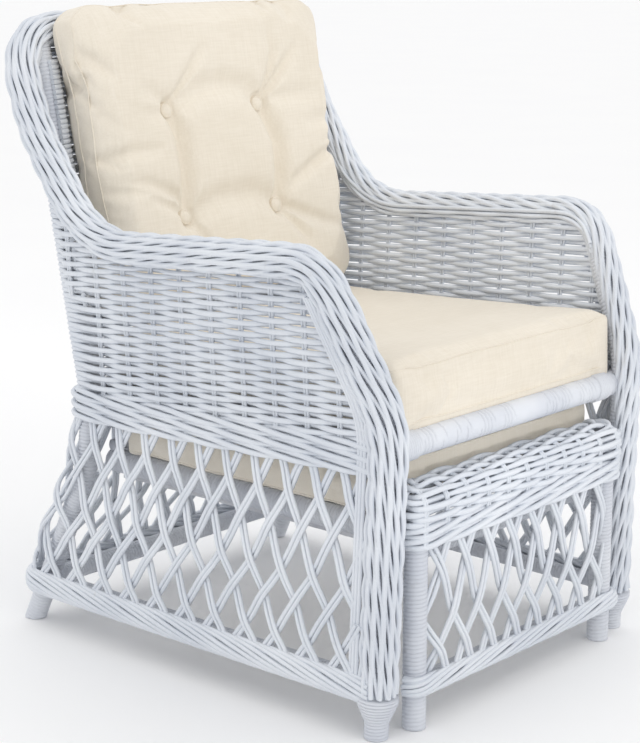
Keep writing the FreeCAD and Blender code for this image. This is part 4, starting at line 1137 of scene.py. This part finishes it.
for name, body, finish, degrees, corner, droop, grow in (
    ("seat", "chair", cushion_cream, -2.4, 0.014, 0.0115, (0.003, 0.013, 0.003, 0.0)),
    # the footrest's finish is the seat's cloth painted lighter: painted light
    ("footrest", "footrest", footrest_cream_painted_light, 0.0, 0.012, 0.0, (0.008, 0.017, 0.002, 0.005)),
):
    pad, seams = boxed_cushion(name + "_cushion", degrees, corner, droop, grow)
    fit(pad, name + "_pad", "cushion_cloth", body, name + "_cushion", finish=finish)
    fit(seams, name + "_seams", "cushion_cloth", body, finish=finish)


# ---- buttoned back cushion

BACK_DEGREES = -11.4
TOP_CORNER = 0.056
GROW_LEFT, GROW_RIGHT = 0.007, 0.022
axes, low, high = tilted("back_cushion", BACK_DEGREES)
_, button_low, button_high = tilted("back_cushion_buttons", BACK_DEGREES)
HALF_BUTTON = 0.012
LOW_ROW, HIGH_ROW = button_low.z + HALF_BUTTON, button_high.z - HALF_BUTTON
BUTTONS = np.array([
    (-0.104, LOW_ROW - 0.003), (-0.109, HIGH_ROW - 0.005),
    (0.099, LOW_ROW - 0.004), (0.090, HIGH_ROW - 0.007),
])
LOW_LEFT, HIGH_LEFT, LOW_RIGHT, HIGH_RIGHT = range(4)
FOLDS = [
    # the button that a fold is measured from, how deep and how wide it is, and its line
    (HIGH_LEFT, 0.017, 0.010, (0.000, 0.004), (0.041, 0.045), (0.062, 0.071), (0.084, 0.096)),
    (HIGH_LEFT, 0.009, 0.013, (-0.006, 0.010), (-0.038, 0.027), (-0.067, 0.034)),
    (HIGH_LEFT, 0.007, 0.013, (-0.014, -0.003), (-0.045, -0.006), (-0.099, 0.001)),
    (HIGH_RIGHT, 0.015, 0.009, (0.004, 0.008), (0.026, 0.047), (0.036, 0.079), (0.026, 0.127)),
    (HIGH_RIGHT, 0.017, 0.009, (0.006, 0.006), (0.039, 0.039), (0.068, 0.067), (0.092, 0.093)),
    (HIGH_RIGHT, 0.008, 0.013, (0.010, 0.006), (0.088, 0.010), (0.137, 0.009)),
    (HIGH_RIGHT, 0.008, 0.012, (0.171, -0.034), (0.078, -0.036)),
    (LOW_LEFT, 0.013, 0.010, (-0.150, 0.095), (-0.102, 0.104), (-0.030, 0.105)),
    (LOW_LEFT, 0.014, 0.010, (-0.003, 0.006), (-0.020, 0.033), (-0.076, 0.057), (-0.141, 0.059)),
    (LOW_LEFT, 0.012, 0.009, (-0.006, 0.004), (-0.043, 0.020), (-0.086, 0.035)),
    (LOW_LEFT, 0.013, 0.009, (0.002, -0.004), (0.015, -0.024), (0.028, -0.049), (0.032, -0.080)),
    (LOW_RIGHT, 0.015, 0.010, (0.162, 0.084), (0.101, 0.064), (0.034, 0.034), (0.006, 0.008)),
    (LOW_RIGHT, 0.014, 0.010, (0.004, -0.002), (0.091, -0.037), (0.168, -0.058)),
    (LOW_RIGHT, 0.014, 0.009, (0.002, -0.006), (0.030, -0.039), (0.049, -0.061), (0.056, -0.090)),
]
VALLEYS = [
    # from one button to the next, how deep and how wide, and where the line bows to
    (HIGH_LEFT, LOW_LEFT, 0.019, 0.015, (0.013, -0.044), (0.013, -0.100)),
    (HIGH_RIGHT, LOW_RIGHT, 0.019, 0.015, (0.024, -0.064), (0.020, -0.112)),
    (HIGH_LEFT, HIGH_RIGHT, 0.012, 0.019, (0.055, 0.026), (0.110, 0.032), (0.165, 0.024)),
    (LOW_LEFT, LOW_RIGHT, 0.011, 0.019, (0.060, 0.021), (0.147, 0.023)),
]
EDGE_FOLDS = [
    # how deep and how wide, and both ends: how far across, and which share of the way up
    # from the low buttons to the high ones
    (0.010, 0.009, (-0.275, 0.52), (-0.205, 0.60)),
    (0.009, 0.009, (-0.275, 0.30), (-0.175, 0.24)),
    (0.005, 0.008, (-0.275, 0.72), (-0.225, 0.78)),
    (0.008, 0.009, (0.285, 0.62), (0.205, 0.50)),
]
# the rings of a covered button, from its rim to its middle: how far in and how far out
BUTTON_RINGS = [
    (0.0007, 0.0009), (0.0012, 0.0003), (0.0006, -0.0007), (0.0012, 0.0010), (0.0030, 0.0011),
    (0.0030, 0.0004),
]


def drawn_in(flat, line, depth, width, fades):
    """How far a fold along a line draws the cloth in. It may fade towards its far end."""
    line = np.array(line)
    best = np.zeros(len(flat))
    for number, (a, b) in enumerate(zip(line, line[1:])):
        share = np.clip((flat - a) @ (b - a) / ((b - a) @ (b - a)), 0, 1)
        off = np.linalg.norm(flat - a - share[:, None] * (b - a), axis=1)
        gone = (number + share) / (len(line) - 1) if fades else 0 * share
        best = np.maximum(best, depth * np.exp(-((off / width) ** 2)) * (1 - gone) ** 0.8)
    return best


def tufted(places):
    """Pulls the front in at the buttons and folds it between and around them."""
    facing = np.clip((low.y + 0.055 - places[:, 1]) / 0.035, 0, 1)
    flat = places[:, [0, 2]]
    pull = np.zeros(len(places))
    for start, end, depth, width, *bow in VALLEYS:
        line = [BUTTONS[start], *(BUTTONS[start] + b for b in bow), BUTTONS[end]]
        pull = np.maximum(pull, drawn_in(flat, line, depth, width, False))
    for button, depth, width, *line in FOLDS:
        pull = np.maximum(pull, drawn_in(flat, BUTTONS[button] + line, depth, width, True))
    for depth, width, *ends in EDGE_FOLDS:
        line = [(x, LOW_ROW + share * (HIGH_ROW - LOW_ROW)) for x, share in ends]
        pull = np.maximum(pull, drawn_in(flat, line, depth, width, True))
    for button in BUTTONS:
        far = np.linalg.norm(flat - button, axis=1)
        pull += 0.010 * np.exp(-far / 0.022)
        under = np.clip((0.020 - far) / 0.007, 0, 1)
        pull += under * (0.022 - pull)
    places[:, 1] += facing * pull
    return places


def straight_top(places):
    """Draws the top edge to a straight line with rounded ends, and fills the lower right corner."""
    station = 0.006
    base = high.z - 0.075
    x = places[:, 0]
    stations = np.arange(low.x - 0.03, high.x + 0.06, station)
    tops = np.full(len(stations), base + 0.004)
    np.maximum.at(tops, np.round((x - stations[0]) / station).astype(int), places[:, 2])
    tops[1:-1] = (tops[:-2] + tops[1:-1] + tops[2:]) / 3
    past = np.maximum(x - high.x - GROW_RIGHT, low.x - GROW_LEFT - x) + TOP_CORNER - 0.004
    drop = TOP_CORNER - np.sqrt(TOP_CORNER ** 2 - np.clip(past, 0, TOP_CORNER) ** 2)
    aim = high.z + 0.005 - 0.95 * drop
    above = np.maximum(places[:, 2] - base, 0)
    places[:, 2] += above * ((aim - base) / (np.interp(x, stations, tops) - base) - 1)
    lowest = np.clip((low.z + 0.07 - places[:, 2]) / 0.06, 0, 1)
    places[:, 0] += 0.009 * lowest * np.clip((x - 0.18) / 0.08, 0, 1)
    return places


def covered_button(spot):
    """A cloth-covered button with a rolled edge, facing out of the cushion's front."""
    bpy.ops.mesh.primitive_cylinder_add(
        vertices=28, radius=0.0118, depth=0.005, location=(0, 0, 0)
    )
    button = in_hand()
    none_picked("FACE")
    for face in button.data.polygons:
        face.select = face.normal.z > 0.9
    mode("EDIT")
    for inwards, outwards in BUTTON_RINGS:
        bpy.ops.mesh.inset(thickness=inwards, depth=outwards)
    mode("OBJECT")
    bpy.ops.object.shade_smooth_by_angle(angle=radians(50))
    button.data.transform(Matrix.Translation(spot) @ Matrix.Rotation(radians(90), 4, "X"))
    return button


back_pad = stuffed_block(
    low + Vector((-GROW_LEFT, 0.024, 0.0)), high + Vector((GROW_RIGHT, 0.0, 0.009)),
    TOP_CORNER, 0.012, 1,
)
finer(swell(back_pad, 0.0053, 4.0, 0.026))
moved_by(back_pad, straight_top)
moved_by(back_pad, tufted)
cover = surface(back_pad)
buttons = []
for x, z in BUTTONS:
    front = cover.ray_cast(Vector((x, low.y - 0.1, z)), Vector((0, 1, 0)))[0]
    buttons.append(covered_button(front - Vector((0, 0.0015, 0))))
back_buttons = joined(buttons)
outline = ring(low - Vector((0.016, 0, 0.004)), high + Vector((0.033, 0, 0.020)), 0.062, 0, 2)
depths = (low.y + 0.028, high.y - 0.016)
back_seams = sewn_edges(back_pad, [outline + (0, depth, 0) for depth in depths])
for piece in (back_pad, back_buttons, back_seams):
    settle(piece, axes)
fit(back_pad, "back_pad", "cushion_cloth", "chair", "back_cushion")
fit(back_buttons, "back_buttons", "cushion_cloth", "chair", "back_cushion_buttons")
fit(back_seams, "back_seams", "cushion_cloth", "chair")


# ---- floor, light, camera

bpy.ops.mesh.primitive_plane_add(size=140, location=(0, 0, -0.0005))
floor = in_hand()
floor.name = "studio_floor"
pale = Finish("pale_floor", 0.9, Specular_IOR_Level=0.1)
cloud = pale.noise(pale.place(), 1.5)
floor.data.materials.append(
    pale.done(pale.mix(cloud, tone(249, 249, 250), tone(252, 252, 252)))
)

world = bpy.data.worlds.new("soft_room")
bpy.context.scene.world = world
world.use_nodes = True
room = world.node_tree.nodes["Background"]
room.inputs["Color"].default_value = (1.0, 1.0, 1.0, 1.0)
room.inputs["Strength"].default_value = 1.0


def lamp(kind, name, place, aim, power):
    bpy.ops.object.light_add(type=kind, location=place)
    made = in_hand()
    made.name = name
    made.data.energy = power
    made.rotation_euler = (Vector(aim) - Vector(place)).to_track_quat("-Z", "Y").to_euler()
    return made


def soft_light(name, place, aim, size, power, colour):
    made = lamp("AREA", name, place, aim, power)
    made.data.shape = "DISK"
    made.data.size = size
    made.data.color = colour


def narrow_light(name, place, aim, power, degrees, wide):
    """A soft-edged lamp for one part of the chair. Wide stretches its patch of light sideways."""
    made = lamp("SPOT", name, place, aim, power)
    made.data.spot_size = radians(degrees)
    made.data.spot_blend = 1.0
    made.data.shadow_soft_size = 0.12
    made.scale = (wide, 1.0, 1.0)


soft_light("key_light", (-0.9, -3.0, 3.2), (0, 0, 0.4), 2.4, 12, (1.0, 0.985, 0.96))
soft_light("top_light", (0.6, 0.6, 3.4), (0, 0, 0.5), 2.6, 5, (1.0, 1.0, 1.0))
narrow_light("footrest_light", (-0.9, -2.2, 0.47), (0.0, -0.32, 0.340), 42, 7, 3.0)
narrow_light("back_light", (-0.5, -2.4, 1.9), (0.10, 0.20, 0.66), 34, 19, 1.1)

CAMERA_PLACE = (-2.0981, -1.8382, 1.0331)
YAW, PITCH = radians(48.604), radians(12.720)
bpy.ops.object.camera_add(location=CAMERA_PLACE)
camera = in_hand()
camera.data.lens = 91.14
camera.data.sensor_width = 36
level = cos(PITCH)
look = Vector((sin(YAW) * level, cos(YAW) * level, -sin(PITCH)))
camera.rotation_mode = "QUATERNION"
camera.rotation_quaternion = look.to_track_quat("-Z", "Y")
bpy.context.scene.camera = camera

bpy.context.scene.view_settings.view_transform = "Standard"

bpy.context.view_layer.update()
